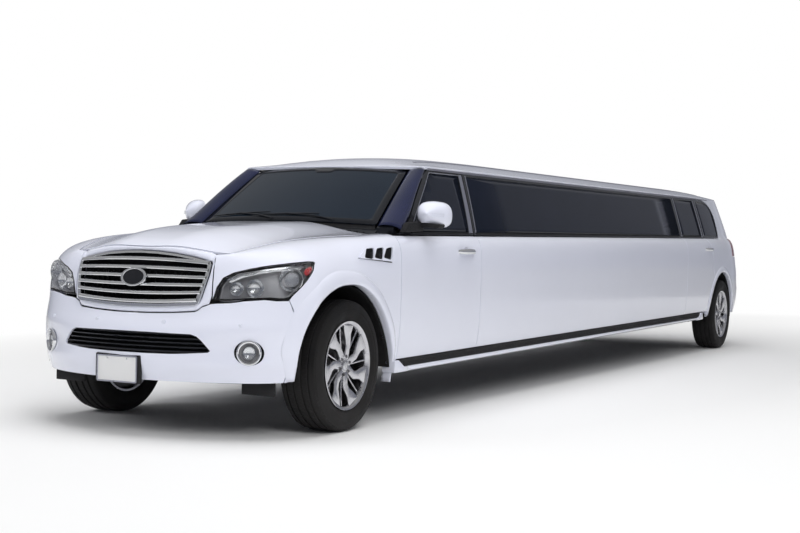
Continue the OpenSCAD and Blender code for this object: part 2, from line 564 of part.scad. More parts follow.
bumper_h = [sill_h, 400, 450, 500, 550, 600, 660, 700, 740, 800, 838];
bumper_u = [0, 0.1, 0.2, 0.3, 0.4, 0.5, 0.6, 0.7, 0.8, 0.88, 0.95, 1];
grille_line = [[478, 1050], [484, 980], [446, 800], [425, 776], [200, 757], [0, 753], [-200, 757],
    [-425, 776], [-446, 800], [-484, 980], [-478, 1050], [-250, 1104], [0, 1119], [250, 1104]];
module front_bumper() {
    color("white") difference() {
        intersection() {
            both() slab([for (u = bumper_u) [for (h = bumper_h) nose_pt(u, h, 0)]],
                 [for (u = bumper_u) [for (h = bumper_h) nose_pt(u, h, skin_t)]]);
            both() side_prism([[-1100, 200], [-1100, 838], [-606, 838], [-580, 684], [-592, 541],
                [-614, 372], [-614, 200]], 0);
        }
        both() front_prism([[-1, 512], [300, 514], [541, 537], [456, 632], [-1, 640]], -1100, -600);
        both() translate([751, y0 - 1000, 532]) rotate([-90, 0, 0]) cylinder(h = 500, d = 168);
        front_prism(grow2(grille_line, 4), -1100, -600);
        both() headlight_cut(0.01);
    }
}
function grow2(pts, g) = [for (p = pts) [p[0] + sign(p[0]) * g, p[1] + (p[1] > 930 ? g : -g)]];
module fog_lights() {
    color("silver") both() translate([751, y0 - 778, 532]) rotate([-90, 0, 0]) cylinder(h = 78, d = 160);
}
module grille() {
    color("silver") difference() {
        front_prism(grille_line, -862, -812);
        for (k = [0 : 5]) front_prism([[-400, 812 + k * 42], [400, 812 + k * 42], [400, 838 + k * 42],
            [-400, 838 + k * 42]], -900, -780);
    }
}
module headlights() {
    color([0.8, 0.85, 0.9, 0.6]) both() intersection() {
        slab([for (u = fender_u) [for (v = fender_v) fender_pt(u, v, 2)]],
             [for (u = fender_u) [for (v = fender_v) fender_pt(u, v, skin_t + 40)]]);
        headlight_cut(-0.03);
    }
}
tail_h = [sill_h, 430, 500, 550, 600, 650, 690];
module rear_bumper() {
    color("white") difference() {
        rear_cover();
        // access to the recovery socket
        translate([0, y0 + wb + 1100, socket_z]) rotate([-90, 0, 0]) cylinder(h = 400, d = socket_d * 3);
    }
}
module rear_cover() {
    intersection() {
        both() slab([for (k = [0 : 12]) [for (h = tail_h) tail_pt(2 + k / 12, h, 0)]],
             [for (k = [0 : 12]) [for (h = tail_h) tail_pt(2 + k / 12, h, skin_t + 20)]]);
        both() side_prism([[wb + 706, 200], [wb + 706, 634], [wb + 1100, 676], [wb + 1500, 676],
            [wb + 1500, 200]], 0);
    }
}
lamp_h = [900, 980, 1080, 1150, 1195, belt_h - 14, 1290];
module tail_lights() {
    color([0.7, 0.05, 0.05]) both() intersection() {
        slab([for (k = [0 : 8]) [for (h = lamp_h) tail_pt(2 + k * 0.075, h, 2)]],
             [for (k = [0 : 8]) [for (h = lamp_h) tail_pt(2 + k * 0.075, h, door_t)]]);
        block(600, 1100, wb + 562, wb + 1398, 1038, 1264);
        block(gate_x + shut_gap + 2, 1100, wb + 500, wb + 1500, 900, 1300);
    }
}
gate_x = 700;            // half width of the tailgate
gate_line = [[-gate_x, 702], [-gate_x, 1330], [-632, 1700], [-612, 1735], [-500, 1778], [-250, 1812],
    [0, 1820], [250, 1812], [500, 1778], [612, 1735], [632, 1700], [gate_x, 1330], [gate_x, 702]];
gate_h = [700, 900, 1000, 1150, 1270, 1350, 1500, 1620, 1700, 1760, 1800];
module gate_slab(a, b) {
    both() slab([for (k = [0 : 6]) [for (h = gate_h) tail_pt(mix(2.45, 3, k / 6), h, a)]],
         [for (k = [0 : 6]) [for (h = gate_h) tail_pt(mix(2.45, 3, k / 6), h, b)]]);
}
gate_pane = [[-586, 1388], [-530, 1700], [530, 1700], [586, 1388]];
module tailgate() {
    color("white") {
        difference() {
            intersection() {
                gate_slab(0, 50);
                front_prism(raise(gate_line), wb + 300, wb + 1500);
                block(-900, 900, wb + 700, wb + 1500, 700, 1900);
            }
            // the roof's rear edge
            block(-900, 900, wb + 600, gate_s + 2, eave_h - 40 + lift(wb + 850), 2000);
            front_prism(raise(gate_pane), wb + 300, wb + 1500);
        }
        // spoiler that carries the roof line on behind the hinge
        slab([for (s = [gate_s + 2, gate_s + 60, wb + 900]) [for (q = roof_q) spoiler_pt(s, q, 0)]],
             [for (s = [gate_s + 2, gate_s + 60, wb + 900]) [for (q = roof_q)
                 spoiler_pt(s, q, s > wb + 860 ? 14 : 34)]]);
    }
}
function raise(pts) = [for (p = pts) [p[0], p[1] + lift(wb + 850)]];
function spoiler_pt(s, q, t) = [roof_w(gate_s) * 0.96 * q, y0 + s - 60 * q * q * (s - gate_s) / 150,
    mix(roof_top(s), eave_h, pw(abs(q), 2.5)) + lift(s) - t];
module rear_window() {
    color([0.1, 0.1, 0.12, 0.7]) intersection() {
        gate_slab(12, 12 + glass_t);
        front_prism([for (p = raise(gate_pane)) [p[0] - sign(p[0]) * 1.5 * glass_gap,
            p[1] + (p[1] < 1600 ? glass_gap : -glass_gap)]], wb + 300, wb + 1500);
    }
}
board_s = [door_f0 - 4, wb - 890];
module running_boards() {
    color([0.85, 0.85, 0.87]) both() {
        side_prism([[board_s[0], sill_h], [board_s[1], sill_h], [board_s[1], door_h - 12],
            [board_s[0], door_h - 12]], 880, w0 - 3);
        for (s = [800, 2600, 4600, 6600, wb - 1100])
            side_prism([[s - 30, sill_h + 15], [s + 30, sill_h + 15], [s + 30, sill_h + 45],
                [s - 30, sill_h + 45]], rail_x + 2, 881);
    }
}
module liner(s0) {
    side_prism_ring(arch(s0, arch_r - 3), arch(s0, arch_r - 9));
}
module side_prism_ring(a, b) {
    difference() {
        side_prism(a, 560, 965);
        side_prism(concat(b, [[b[len(b) - 1][0], 0], [b[0][0], 0]]), 500, 1000);
    }
}
module wheel_arch_liners() { color([0.08, 0.08, 0.08]) both() { liner(0); liner(wb); } }
// Blank front plate on its bracket
module number_plates() {
    color("white") {
        block(-152, 152, -front_overhang, 3 - front_overhang, 328, 482);
        block(-165, 165, 3 - front_overhang, 18 - front_overhang, 320, 490);
    }
}

// ---- cabin ----
module dashboard() { color([0.1, 0.1, 0.1]) block(-700, 700, 760, 1060, 900, 1180); }
module steering_wheel() {
    color([0.1, 0.1, 0.1]) translate([380, y0 + 1200, 1130]) rotate([-65, 0, 0]) {
        rotate_extrude() translate([175, 0]) circle(d = 30, $fn = 24);
        translate([-175, -16, -10]) cube([350, 32, 20]);
        translate([0, 0, -138]) cylinder(h = 138, d = 60);
    }
}
module seat(x, s, w) {
    block(x - w / 2, x + w / 2, s, s + 520, floor_z + 180, floor_z + 330);
    translate([x - w / 2, y0 + s + 522, floor_z + 230]) rotate([-14, 0, 0]) cube([w, 130, 640]);
    block(x - w / 2 + 60, x + w / 2 - 60, s + 40, s + 460, floor_z + 1, floor_z + 179);
}
module front_seats() { color([0.15, 0.13, 0.12]) for (x = [-380, 380]) seat(x, 1340, 520); }
module lounge_seats() {
    color([0.15, 0.13, 0.12]) {
        block(-780, -330, 2600, wb - 1700, floor_z + 1, floor_z + 420);
        block(-540, 540, wb - 420, wb + 120, floor_z + 105, floor_z + 450);
        block(-540, 540, wb + 124, wb + 260, floor_z + 105, floor_z + 980);
    }
}
module partition() { color([0.15, 0.15, 0.15]) block(-700, 700, 2240, 2290, floor_z + 1, 1700); }

chassis_frame();
floor_pan();
roof_panel();
side_wall_left();
side_wall_right();
rear_quarter_left();
rear_quarter_right();
front_fender_left();
front_fender_right();
windshield_frame();
windshield();
side_windows();
front_bumper();
grille();
headlights();
fog_lights();
rear_bumper();
tail_lights();
running_boards();
wheel_arch_liners();
number_plates();
engine_block();
driveshaft();
exhaust();
fuel_tank();
front_suspension();
rear_axle();
dashboard();
steering_wheel();
front_seats();
lounge_seats();
partition();
hood();
front_door_left();
front_door_right();
front_door_glass_left();
front_door_glass_right();
mirror_left();
mirror_right();
rear_door_left();
rear_door_right();
rear_door_glass_left();
rear_door_glass_right();
tailgate();
rear_window();
knuckle_left();
knuckle_right();
front_tyre_left();
front_rim_left();
front_tyre_right();
front_rim_right();
rear_tyre_left();
rear_rim_left();
rear_tyre_right();
rear_rim_right();
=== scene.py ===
import math
import bpy
import bmesh
from mathutils import Matrix, Vector


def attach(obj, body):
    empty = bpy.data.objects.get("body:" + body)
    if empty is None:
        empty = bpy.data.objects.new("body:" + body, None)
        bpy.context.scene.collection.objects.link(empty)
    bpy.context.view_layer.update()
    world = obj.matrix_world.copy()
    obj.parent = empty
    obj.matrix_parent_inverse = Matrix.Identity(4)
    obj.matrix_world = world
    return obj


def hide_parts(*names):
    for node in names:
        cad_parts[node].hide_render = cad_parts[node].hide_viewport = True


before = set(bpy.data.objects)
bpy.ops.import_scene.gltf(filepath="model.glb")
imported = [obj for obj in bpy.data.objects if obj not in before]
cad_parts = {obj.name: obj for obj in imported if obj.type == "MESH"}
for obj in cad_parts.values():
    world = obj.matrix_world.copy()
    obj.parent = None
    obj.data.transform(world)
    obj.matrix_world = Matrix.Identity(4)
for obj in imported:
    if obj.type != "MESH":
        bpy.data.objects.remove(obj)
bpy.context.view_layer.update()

# ---------------------------------------------------------------- sizes, metres
# s runs rearward from the front axle and h is a body height before the body's rake is added.
WHEELBASE = 9.175
AXLE_Y = -4.710       # front axle
RAKE = 0.0075         # rise of the body for each metre towards the rear
HUB_Z = 0.415
WHEEL_X = 0.8575
HALF_WIDTH = 1.003
MID_H = 0.850         # height at which the body is widest
BELT_X, EAVE_X = 0.925, 0.762
BELT_H, EAVE_H = 1.238, 1.742
DOOR_FRONT, DOOR_REAR = 0.668, 1.976
REAR_DOOR_FRONT, REAR_DOOR_REAR, REAR_FRAME_REAR = 7.600, 8.675, 8.507
NOSE_S, TAIL_S = -0.400, 9.625     # where the straight sides end and the rounded nose and tail start
ARCH_R = 0.507                     # rear wheel opening
GAP = 0.006                        # seam between two panels
GATE_S = 9.927                     # rear edge of the roof
TAIL_POWER = .62                   # how round the body's rear corners are
DOOR_FOOT, LIP_H = .408, .335      # lower edge of the doors, and of the panels round the wheels
DOOR_POST = DOOR_REAR - .014       # rear edge of the front door below its waist
PANE_TOP, FRAME_TOP = 1.692, 1.708  # side glass, and the black frames round it
ROOF_EDGE = 1.728                  # where the roof meets the quarters and the tailgate
FOG_X, FOG_H = .751, .532
MIRROR_X, MIRROR_H = 1.012, 1.397
OVAL_H = .955
SKIN = {"wall": .022, "bevel": .0025}     # thickness and edge rounding of painted panels
FRAME = {"wall": .022, "bevel": .002}     # and of window frames


def mix(a, b, t):
    return a + (b - a) * t


def ease(a, b, x):
    t = min(1.0, max(0.0, (x - a) / (b - a)))
    return t * t * (3 - 2 * t)


def smooth_curve(points):
    """A function through the points, smooth and without overshoot."""
    n = len(points)
    step = [(points[i + 1][1] - points[i][1]) / (points[i + 1][0] - points[i][0]) for i in range(n - 1)]
    slope = [step[0]]
    for i in range(1, n - 1):
        a, b = step[i - 1], step[i]
        slope.append(0.0 if a * b <= 0 else 2 * a * b / (a + b))
    slope.append(step[-1])

    def value(x):
        if x <= points[0][0]:
            return points[0][1]
        if x >= points[-1][0]:
            return points[-1][1]
        i = 0
        while points[i + 1][0] < x:
            i += 1
        (x0, y0), (x1, y1) = points[i], points[i + 1]
        w = x1 - x0
        t = (x - x0) / w
        return ((1 + 2 * t) * (1 - t) ** 2 * y0 + t * (1 - t) ** 2 * w * slope[i]
                + t * t * (3 - 2 * t) * y1 + t * t * (t - 1) * w * slope[i + 1])
    return value


def lift(s):
    """How far the rake raises the body at s."""
    return RAKE * s


def body_at(x, s, h):
    """The place x from the middle, s behind the front axle and h up on the raked body."""
    return Vector((x, AXLE_Y + s, h + lift(s)))


# ---------------------------------------------------------------- body surfaces
fender_edge_front = smooth_curve([(-.985, 1.050), (-.8, 1.086), (-.72, 1.110), (-.53, 1.152), (-.3, 1.190),
                                  (0, 1.214), (.38, 1.230), (.668, 1.238)])
hood_crown = smooth_curve([(-.985, 1.070), (-.86, 1.110), (-.8, 1.150), (-.7, 1.192), (-.5, 1.240),
                           (-.25, 1.272), (0, 1.290), (.4, 1.313), (.72, 1.322)])
hood_half = smooth_curve([(-.985, .440), (-.8, .535), (-.72, .570), (-.5, .640), (-.2, .700), (.1, .735),
                          (.5, .760), (.8, .770)])
side_tuck = smooth_curve([(.30, .052), (.33, .046), (.4, .031), (.5, .015), (.65, .004), (.85, 0)])
nose_reach = smooth_curve([(.30, .505), (.33, .525), (.45, .562), (.55, .570), (.66, .562), (.74, .525), (.8, .500),
                           (.85, .485)])
tail_reach = smooth_curve([(.30, .725), (.33, .740), (.43, .768), (.55, .780), (.65, .772), (.7, .700), (.9, .680),
                           (1.15, .650), (1.27, .625), (1.5, .535), (1.7, .435), (1.86, .330)])
roof_crown = smooth_curve([(1.388, 1.741), (1.5, 1.770), (1.7, 1.810), (2.0, 1.836), (2.5, 1.851), (3.2, 1.857),
                           (8.575, 1.857), (9.375, 1.845), (9.995, 1.807)])


def edge_h(s):
    """Height of the top edge of fender and body side."""
    if s >= DOOR_FRONT:
        return mix(BELT_H, BELT_H + .026, (s - DOOR_FRONT) / (WHEELBASE - DOOR_FRONT))
    return fender_edge_front(s)


def shoulder_power(s):
    return mix(2.5, 5, ease(-.1, .668, s))


def shoulder_top(s):
    return edge_h(s) + .008 * ease(.3, .668, s)


def taper(s, h):
    """How far the side draws in towards the tail."""
    return ease(WHEELBASE - .7, WHEELBASE + .9, s) * mix(.010, .062, ease(.7, 1.25, h))


def skin_x(s, h):
    """Half width of the painted side."""
    if h <= MID_H:
        return HALF_WIDTH - side_tuck(h) - taper(s, h)
    inner, p = hood_half(s), shoulder_power(s)
    t = min(1, (h - MID_H) / (shoulder_top(s) - MID_H))
    return inner + (HALF_WIDTH - inner) * (1 - t ** p) ** (1 / p) - taper(s, h)


def cabin_x(s, h):
    """Half width of the glass house above the belt."""
    up = max(0, (h - BELT_H) / (EAVE_H - BELT_H))
    return BELT_X - taper(s, h) - (BELT_X - EAVE_X) * up ** 1.12


def side_x(s, h):
    return max(skin_x(s, h), cabin_x(s, h)) if h < edge_h(s) - .004 else cabin_x(s, h)


def nose_point(u, h):
    """u is 0 at the middle of the nose and 1 where the straight side starts."""
    f = math.radians(90 * (1 - u))
    s = NOSE_S - nose_reach(h) * max(0, math.sin(f))
    return body_at(skin_x(NOSE_S, h) * max(0, math.cos(f)), s, h)


def nose_u_at_s(s, h):
    r = min(1, max(0, (NOSE_S - s) / nose_reach(h)))
    return 1 - math.degrees(math.asin(r)) / 90


def nose_u_at_x(x, h):
    r = min(1, max(0, x / skin_x(NOSE_S, h)))
    return 1 - math.degrees(math.acos(r)) / 90


def tail_point(k, h):
    """k is 0 where the straight side ends and 1 at the middle of the tail."""
    f = math.radians(90 * k)
    s = TAIL_S + tail_reach(h) * max(0, math.sin(f)) ** TAIL_POWER
    return body_at(side_x(TAIL_S, h) * max(0, math.cos(f)) ** TAIL_POWER, s, h)


def tail_k_at_s(s, h):
    r = min(1, max(0, (s - TAIL_S) / tail_reach(h)))
    return math.degrees(math.asin(r ** (1 / TAIL_POWER))) / 90


def tail_k_at_x(x, h):
    r = min(1, max(0, x / side_x(TAIL_S, h)))
    return math.degrees(math.acos(r ** (1 / TAIL_POWER))) / 90


def tail_at(x, h):
    """The tail's surface at a place as seen from behind."""
    return across(lambda a, b: tail_point(tail_k_at_x(a, b), b), x, h)


def across(half_surface, a, h):
    """A point of a left half surface, or its mirror image where a is below 0."""
    p = half_surface(abs(a), h)
    return Vector((math.copysign(p.x, a), p.y, p.z))


def side_point(s, h):
    return body_at(side_x(s, h), s, h)


def body_x(s, h):
    """Half width of the body anywhere along its length."""
    if s < NOSE_S:
        r = min(1, (NOSE_S - s) / nose_reach(h))
        return skin_x(NOSE_S, h) * math.cos(math.asin(r))
    if s > TAIL_S:
        r = min(1, (s - TAIL_S) / tail_reach(h)) ** (1 / TAIL_POWER)
        return side_x(TAIL_S, h) * math.cos(math.asin(r)) ** TAIL_POWER
    return side_x(s, h)


TAIL_RUN = 0.75     # length given to the tail's curve on the quarter panel's flat outline


def quarter_point(a, h):
    return side_point(a, h) if a <= TAIL_S else tail_point((a - TAIL_S) / TAIL_RUN, h)


def quarter_flat(s, h):
    return (s, h) if s <= TAIL_S else (TAIL_S + TAIL_RUN * tail_k_at_s(s, h), h)


inner_fender_x = smooth_curve([(.34, .490), (.48, .570), (.7, hood_half(-.6)), (1, hood_half(-.4))])
inner_fender_s = smooth_curve([(.34, -.745), (.48, -.722), (.7, -.600), (1, -.400)])


def fender_point(u, v):
    """u .27-1 round the nose, 1-2 along the side to the door. v 0-1 up the side, 1-2 over the shoulder."""
    if v <= 1:
        h = mix(.33, MID_H, v)
        if u <= 1:
            return nose_point(u, h)
        s = mix(NOSE_S, DOOR_FRONT, u - 1)
        return body_at(skin_x(s, h), s, h)
    f = math.radians(90 * min(1, v - 1))
    if u > 1:
        s = mix(NOSE_S, DOOR_FRONT, u - 1)
        k = 2 / shoulder_power(s)
        return Vector((mix(hood_half(s), HALF_WIDTH, max(0, math.cos(f)) ** k), AXLE_Y + s,
                       mix(MID_H, shoulder_top(s), math.sin(f) ** k) + lift(s)))
    k = 2 / mix(1.8, shoulder_power(NOSE_S), ease(.3, 1, u))
    low = nose_point(u, MID_H)
    x1, s1 = inner_fender_x(u), inner_fender_s(u)
    c = max(0, math.cos(f)) ** k
    return Vector((mix(x1, low.x, c), AXLE_Y + mix(s1, low.y - AXLE_Y, c),
                   mix(MID_H, edge_h(s1), math.sin(f) ** k) + lift(s1)))


def fender_flat(s, h):
    """Flat place (u, v) of a point given by its station and its height."""
    if h <= MID_H:
        v = (h - .33) / (MID_H - .33)
        return ((1 + (s - NOSE_S) / (DOOR_FRONT - NOSE_S)) if s >= NOSE_S else nose_u_at_s(s, h), v)
    r = min(1, (h - MID_H) / (shoulder_top(s) - MID_H))
    f = math.degrees(math.asin(r ** (shoulder_power(s) / 2)))
    return (1 + (s - NOSE_S) / (DOOR_FRONT - NOSE_S), 1 + f / 90)


def hood_point(s, q):
    """q runs from -1 at the right edge to 1 at the left; both ends of the hood are bowed."""
    sc = s - (1 - q * q) * (.092 * (-.4 - s) / .312 if s < -.4 else .060 * (s - .4) / .320 if s > .4 else 0)
    h = mix(edge_h(s) + .001, hood_crown(sc), 1 - ease(.25, 1.0, abs(q)))
    return body_at((hood_half(s) - GAP) * q, sc, h)


def shield_point(q, v):
    """The windshield: q across from -1 to 1 and v up it from 0 to 1."""
    s = mix(.700 + .112 * q * q, 1.388 + .050 * q * q, v)
    h = mix(mix(1.322, 1.300, q * q), mix(1.736, 1.708, q * q), v) + .026 * v * (1 - v)
    return body_at(q * mix(.731, .640, v), s, h)


def roof_half(s):
    if s <= TAIL_S:
        return cabin_x(s, EAVE_H) + .004
    r = min(1, (s - TAIL_S) / tail_reach(EAVE_H))
    return .004 + cabin_x(TAIL_S, EAVE_H) * (1 - r ** (2 / TAIL_POWER)) ** (TAIL_POWER / 2)


def roof_point(s, q):
    """q runs across the roof from -1 to 1."""
    f = ease(1.30, 1.44, s)
    z = mix(roof_crown(s), EAVE_H - .014 * (1 - f), abs(q) ** 2.5) + lift(s) - .001
    return Vector((roof_half(s) * q, AXLE_Y + s + (.050 * q * q if s < 1.41 else 0), z))


# ---------------------------------------------------------------- shaping tools
def rounded(loop, r, steps=4):
    """The outline with its corners rounded."""
    out = []
    n = len(loop)
    for i in range(n):
        p, a, b = Vector(loop[i]), Vector(loop[i - 1]), Vector(loop[(i + 1) % n])
        da, db = (a - p), (b - p)
        ra, rb = min(r, da.length * .45), min(r, db.length * .45)
        if da.normalized().dot(db.normalized()) < -.995 or r <= 0:
            out.append(tuple(p))
            continue
        pa, pb = p + da.normalized() * ra, p + db.normalized() * rb
        for k in range(steps + 1):
            t = k / steps
            out.append(tuple(pa * (1 - t) ** 2 + p * 2 * t * (1 - t) + pb * t * t))
    return out


def steps(a, b, n):
    """The places that divide a to b into n equal parts, without the two ends."""
    return [mix(a, b, i / n) for i in range(1, n)]


def panel(outline, place, cuts_a, cuts_b, facing, holes=()):
    """A sheet cut from a flat outline and laid on a body surface by place(a, b)."""
    bm = bmesh.new()
    for loop in (outline, *holes):
        verts = [bm.verts.new((a, b, 0)) for a, b in loop]
        for i, v in enumerate(verts):
            bm.edges.new((verts[i - 1], v))
    bmesh.ops.remove_doubles(bm, verts=bm.verts, dist=1e-5)
    bmesh.ops.triangle_fill(bm, use_beauty=True, use_dissolve=True, edges=bm.edges[:])
    for co, no, cuts in (((1, 0, 0), (1, 0, 0), cuts_a), ((0, 1, 0), (0, 1, 0), cuts_b)):
        for c in cuts:
            bmesh.ops.bisect_plane(bm, geom=bm.verts[:] + bm.edges[:] + bm.faces[:], dist=1e-6,
                                   plane_co=(co[0] * c, co[1] * c, 0), plane_no=no)
    for v in bm.verts:
        v.co = place(v.co.x, v.co.y)
    bmesh.ops.remove_doubles(bm, verts=bm.verts, dist=.0012)
    face_towards(bm, facing)
    return bm


def face_towards(bm, facing):
    bmesh.ops.recalc_face_normals(bm, faces=bm.faces)
    total = sum((f.normal * f.calc_area() for f in bm.faces), Vector())
    if total.dot(Vector(facing)) < 0:
        bmesh.ops.reverse_faces(bm, faces=bm.faces)


def patch(nu, nv, place, facing):
    """A sheet of nu by nv faces laid out by place(u, v), with u and v from 0 to 1."""
    bm = bmesh.new()
    bmesh.ops.create_grid(bm, x_segments=nu, y_segments=nv, size=.5)
    for v in bm.verts:
        v.co = place(v.co.x + .5, v.co.y + .5)
    bmesh.ops.remove_doubles(bm, verts=bm.verts, dist=1e-5)
    face_towards(bm, facing)
    return bm


def extruded(outline, axis, a, b, bevel=0.0, seg=2):
    """A bar with the given outline. axis x takes (y, z), y takes (x, z) and z takes (x, y)."""
    bm = bmesh.new()
    at = {"x": lambda p: (a, p[0], p[1]), "y": lambda p: (p[0], a, p[1]), "z": lambda p: (p[0], p[1], a)}[axis]
    move = {"x": (b - a, 0, 0), "y": (0, b - a, 0), "z": (0, 0, b - a)}[axis]
    face = bm.faces.new([bm.verts.new(at(p)) for p in outline])
    out = bmesh.ops.extrude_face_region(bm, geom=[face])
    bmesh.ops.translate(bm, verts=[g for g in out["geom"] if isinstance(g, bmesh.types.BMVert)], vec=move)
    bmesh.ops.recalc_face_normals(bm, faces=bm.faces)
    if bevel:
        sharp = [e for e in bm.edges if len(e.link_faces) == 2 and e.calc_face_angle(0) > .5]
        bmesh.ops.bevel(bm, geom=sharp, offset=bevel, segments=seg, profile=.5, affect="EDGES", material=-1,
                        clamp_overlap=True)
    return bm


def block(x0, x1, y0, y1, z0, z1, bevel=.004, seg=2):
    return extruded([(x0, y0), (x1, y0), (x1, y1), (x0, y1)], "z", z0, z1, bevel, seg)


def turned(profile, axis, centre, steps_round=48):
    """A lathe part: profile is (along the axis, radius)."""
    bm = bmesh.new()
    verts = [bm.verts.new((a, r, 0) if axis == "x" else (r, a, 0) if axis == "y" else (r, 0, a)) for a, r in profile]
    edges = [bm.edges.new((verts[i], verts[i + 1])) for i in range(len(verts) - 1)]
    spin_axis = {"x": (1, 0, 0), "y": (0, 1, 0), "z": (0, 0, 1)}[axis]
    bmesh.ops.spin(bm, geom=verts + edges, cent=(0, 0, 0), axis=spin_axis, angle=math.tau, steps=steps_round,
                   use_merge=True, use_normal_flip=False)
    bmesh.ops.remove_doubles(bm, verts=bm.verts, dist=1e-5)
    bmesh.ops.recalc_face_normals(bm, faces=bm.faces)
    bmesh.ops.translate(bm, verts=bm.verts, vec=centre)
    return bm


def rod(points, radius, sides=12):
    """A round bar along the points. radius is one number or one for each point."""
    bm = bmesh.new()
    pts = [Vector(p) for p in points]
    rad = radius if isinstance(radius, (list, tuple)) else [radius] * len(pts)
    tangent = [(pts[min(i + 1, len(pts) - 1)] - pts[max(i - 1, 0)]).normalized() for i in range(len(pts))]
    turn = Vector((0, 0, 1)).rotation_difference(tangent[0]).to_matrix()
    ring = bmesh.ops.create_circle(bm, cap_ends=True, segments=sides, radius=1)["verts"]
    base = [v.co.copy() for v in ring]
    for v, c in zip(ring, base):
        v.co = pts[0] + turn @ (c * rad[0])
    edges = [e for e in bm.edges]
    for i in range(1, len(pts)):
        turn = tangent[i - 1].rotation_difference(tangent[i]).to_matrix() @ turn
        out = bmesh.ops.extrude_edge_only(bm, edges=edges)["geom"]
        edges = [g for g in out if isinstance(g, bmesh.types.BMEdge)]
        new = [g for g in out if isinstance(g, bmesh.types.BMVert)]
        prev = tangent[i - 1].rotation_difference(tangent[i]).to_matrix()
        for v in new:
            d = v.co - pts[i - 1]
            v.co = pts[i] + prev @ d * (rad[i] / rad[i - 1])
    bmesh.ops.edgeloop_fill(bm, edges=edges)
    bmesh.ops.recalc_face_normals(bm, faces=bm.faces)
    return bm


def joined(*parts):
    """One bmesh of several."""
    whole = bmesh.new()
    for p in parts:
        me = bpy.data.meshes.new("part")
        p.to_mesh(me)
        p.free()
        whole.from_mesh(me)
        bpy.data.meshes.remove(me)
    return whole


def moved(bm, matrix):
    bmesh.ops.transform(bm, matrix=matrix, verts=bm.verts)
    return bm


def mirrored(bm):
    c = bm.copy()
    bmesh.ops.scale(c, vec=(-1, 1, 1), verts=c.verts)
    bmesh.ops.reverse_faces(c, faces=c.faces)
    return c


def both_sides(bm):
    """The left part and its mirror image as one."""
    return joined(bm, mirrored(bm))


def whole_from_half(bm):
    """Both halves of a sheet that was made for the left side, joined along the middle."""
    full = both_sides(bm)
    bmesh.ops.remove_doubles(full, verts=[v for v in full.verts if abs(v.co.x) < .003], dist=.006)
    for v in full.verts:
        if abs(v.co.x) < .002:
            v.co.x = 0
    return full


def piece(name, bm, material, body="body", replaces=(), wall=0.0, bevel=0.0, seg=2, angle=35):
    me = bpy.data.meshes.new(name)
    bm.to_mesh(me)
    bm.free()
    ob = bpy.data.objects.new(name, me)
    bpy.context.scene.collection.objects.link(ob)
    me.materials.append(material)
    for p in me.polygons:
        p.use_smooth = True
    if wall:
        m = ob.modifiers.new("Wall", "SOLIDIFY")
        m.thickness, m.offset, m.use_even_offset = wall, -1.0, True
    if bevel:
        m = ob.modifiers.new("Edges", "BEVEL")
        m.width, m.segments, m.limit_method, m.angle_limit = bevel, seg, "ANGLE", math.radians(angle)
        m.harden_normals = True
    else:
        me.set_sharp_from_angle(angle=math.radians(angle))
    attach(ob, body)
    if replaces:
        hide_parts(*replaces)
    return ob


def pair(name, bm, material, body="body", replaces=(), **more):
    """The left piece and its mirror image. body and the nodes replaced end in _left and _right where they do."""
    other = mirrored(bm)

    def named(words, sd):
        return [w.replace("@", sd) for w in words]
    a = piece(name + "_left", bm, material, body.replace("@", "left"), named(replaces, "left"), **more)
    b = piece(name + "_right", other, material, body.replace("@", "right"), named(replaces, "right"), **more)
    return a, b


# ---------------------------------------------------------------- finishes
def new_group(name, inputs, outputs):
    g = bpy.data.node_groups.new(name, "ShaderNodeTree")
    for n, kind, default in inputs:
        s = g.interface.new_socket(name=n, in_out="INPUT", socket_type=kind)
        if default is not None:
            s.default_value = default
    for n, kind in outputs:
        g.interface.new_socket(name=n, in_out="OUTPUT", socket_type=kind)
    return g, g.nodes.new("NodeGroupInput"), g.nodes.new("NodeGroupOutput")


def new_node(tree, kind):
    return tree.nodes.new("ShaderNode" + kind)


def wire(tree, *runs):
    """Joins an output of one node to an input of another, run by run."""
    for source, out, target, into in runs:
        tree.links.new(source.outputs[out], target.inputs[into])


def grain_group():
    """Fine surface grain: a height for bumps and a slow mask for colour and gloss."""
    g, a, b = new_group("Surface grain", [("Vector", "NodeSocketVector", None),
                                          ("Fine scale", "NodeSocketFloat", 200.0),
                                          ("Slow scale", "NodeSocketFloat", 3.0)],
                        [("Height", "NodeSocketFloat"), ("Mask", "NodeSocketFloat")])
    fine, slow = new_node(g, "TexNoise"), new_node(g, "TexNoise")
    fine.inputs["Detail"].default_value, slow.inputs["Detail"].default_value = 3, 4
    ramp = new_node(g, "MapRange")
    ramp.inputs["From Min"].default_value, ramp.inputs["From Max"].default_value = .35, .68
    wire(g, (a, "Vector", fine, "Vector"), (a, "Vector", slow, "Vector"), (a, "Fine scale", fine, "Scale"),
         (a, "Slow scale", slow, "Scale"), (slow, "Fac", ramp, "Value"), (fine, "Fac", b, "Height"),
         (ramp, "Result", b, "Mask"))
    return g


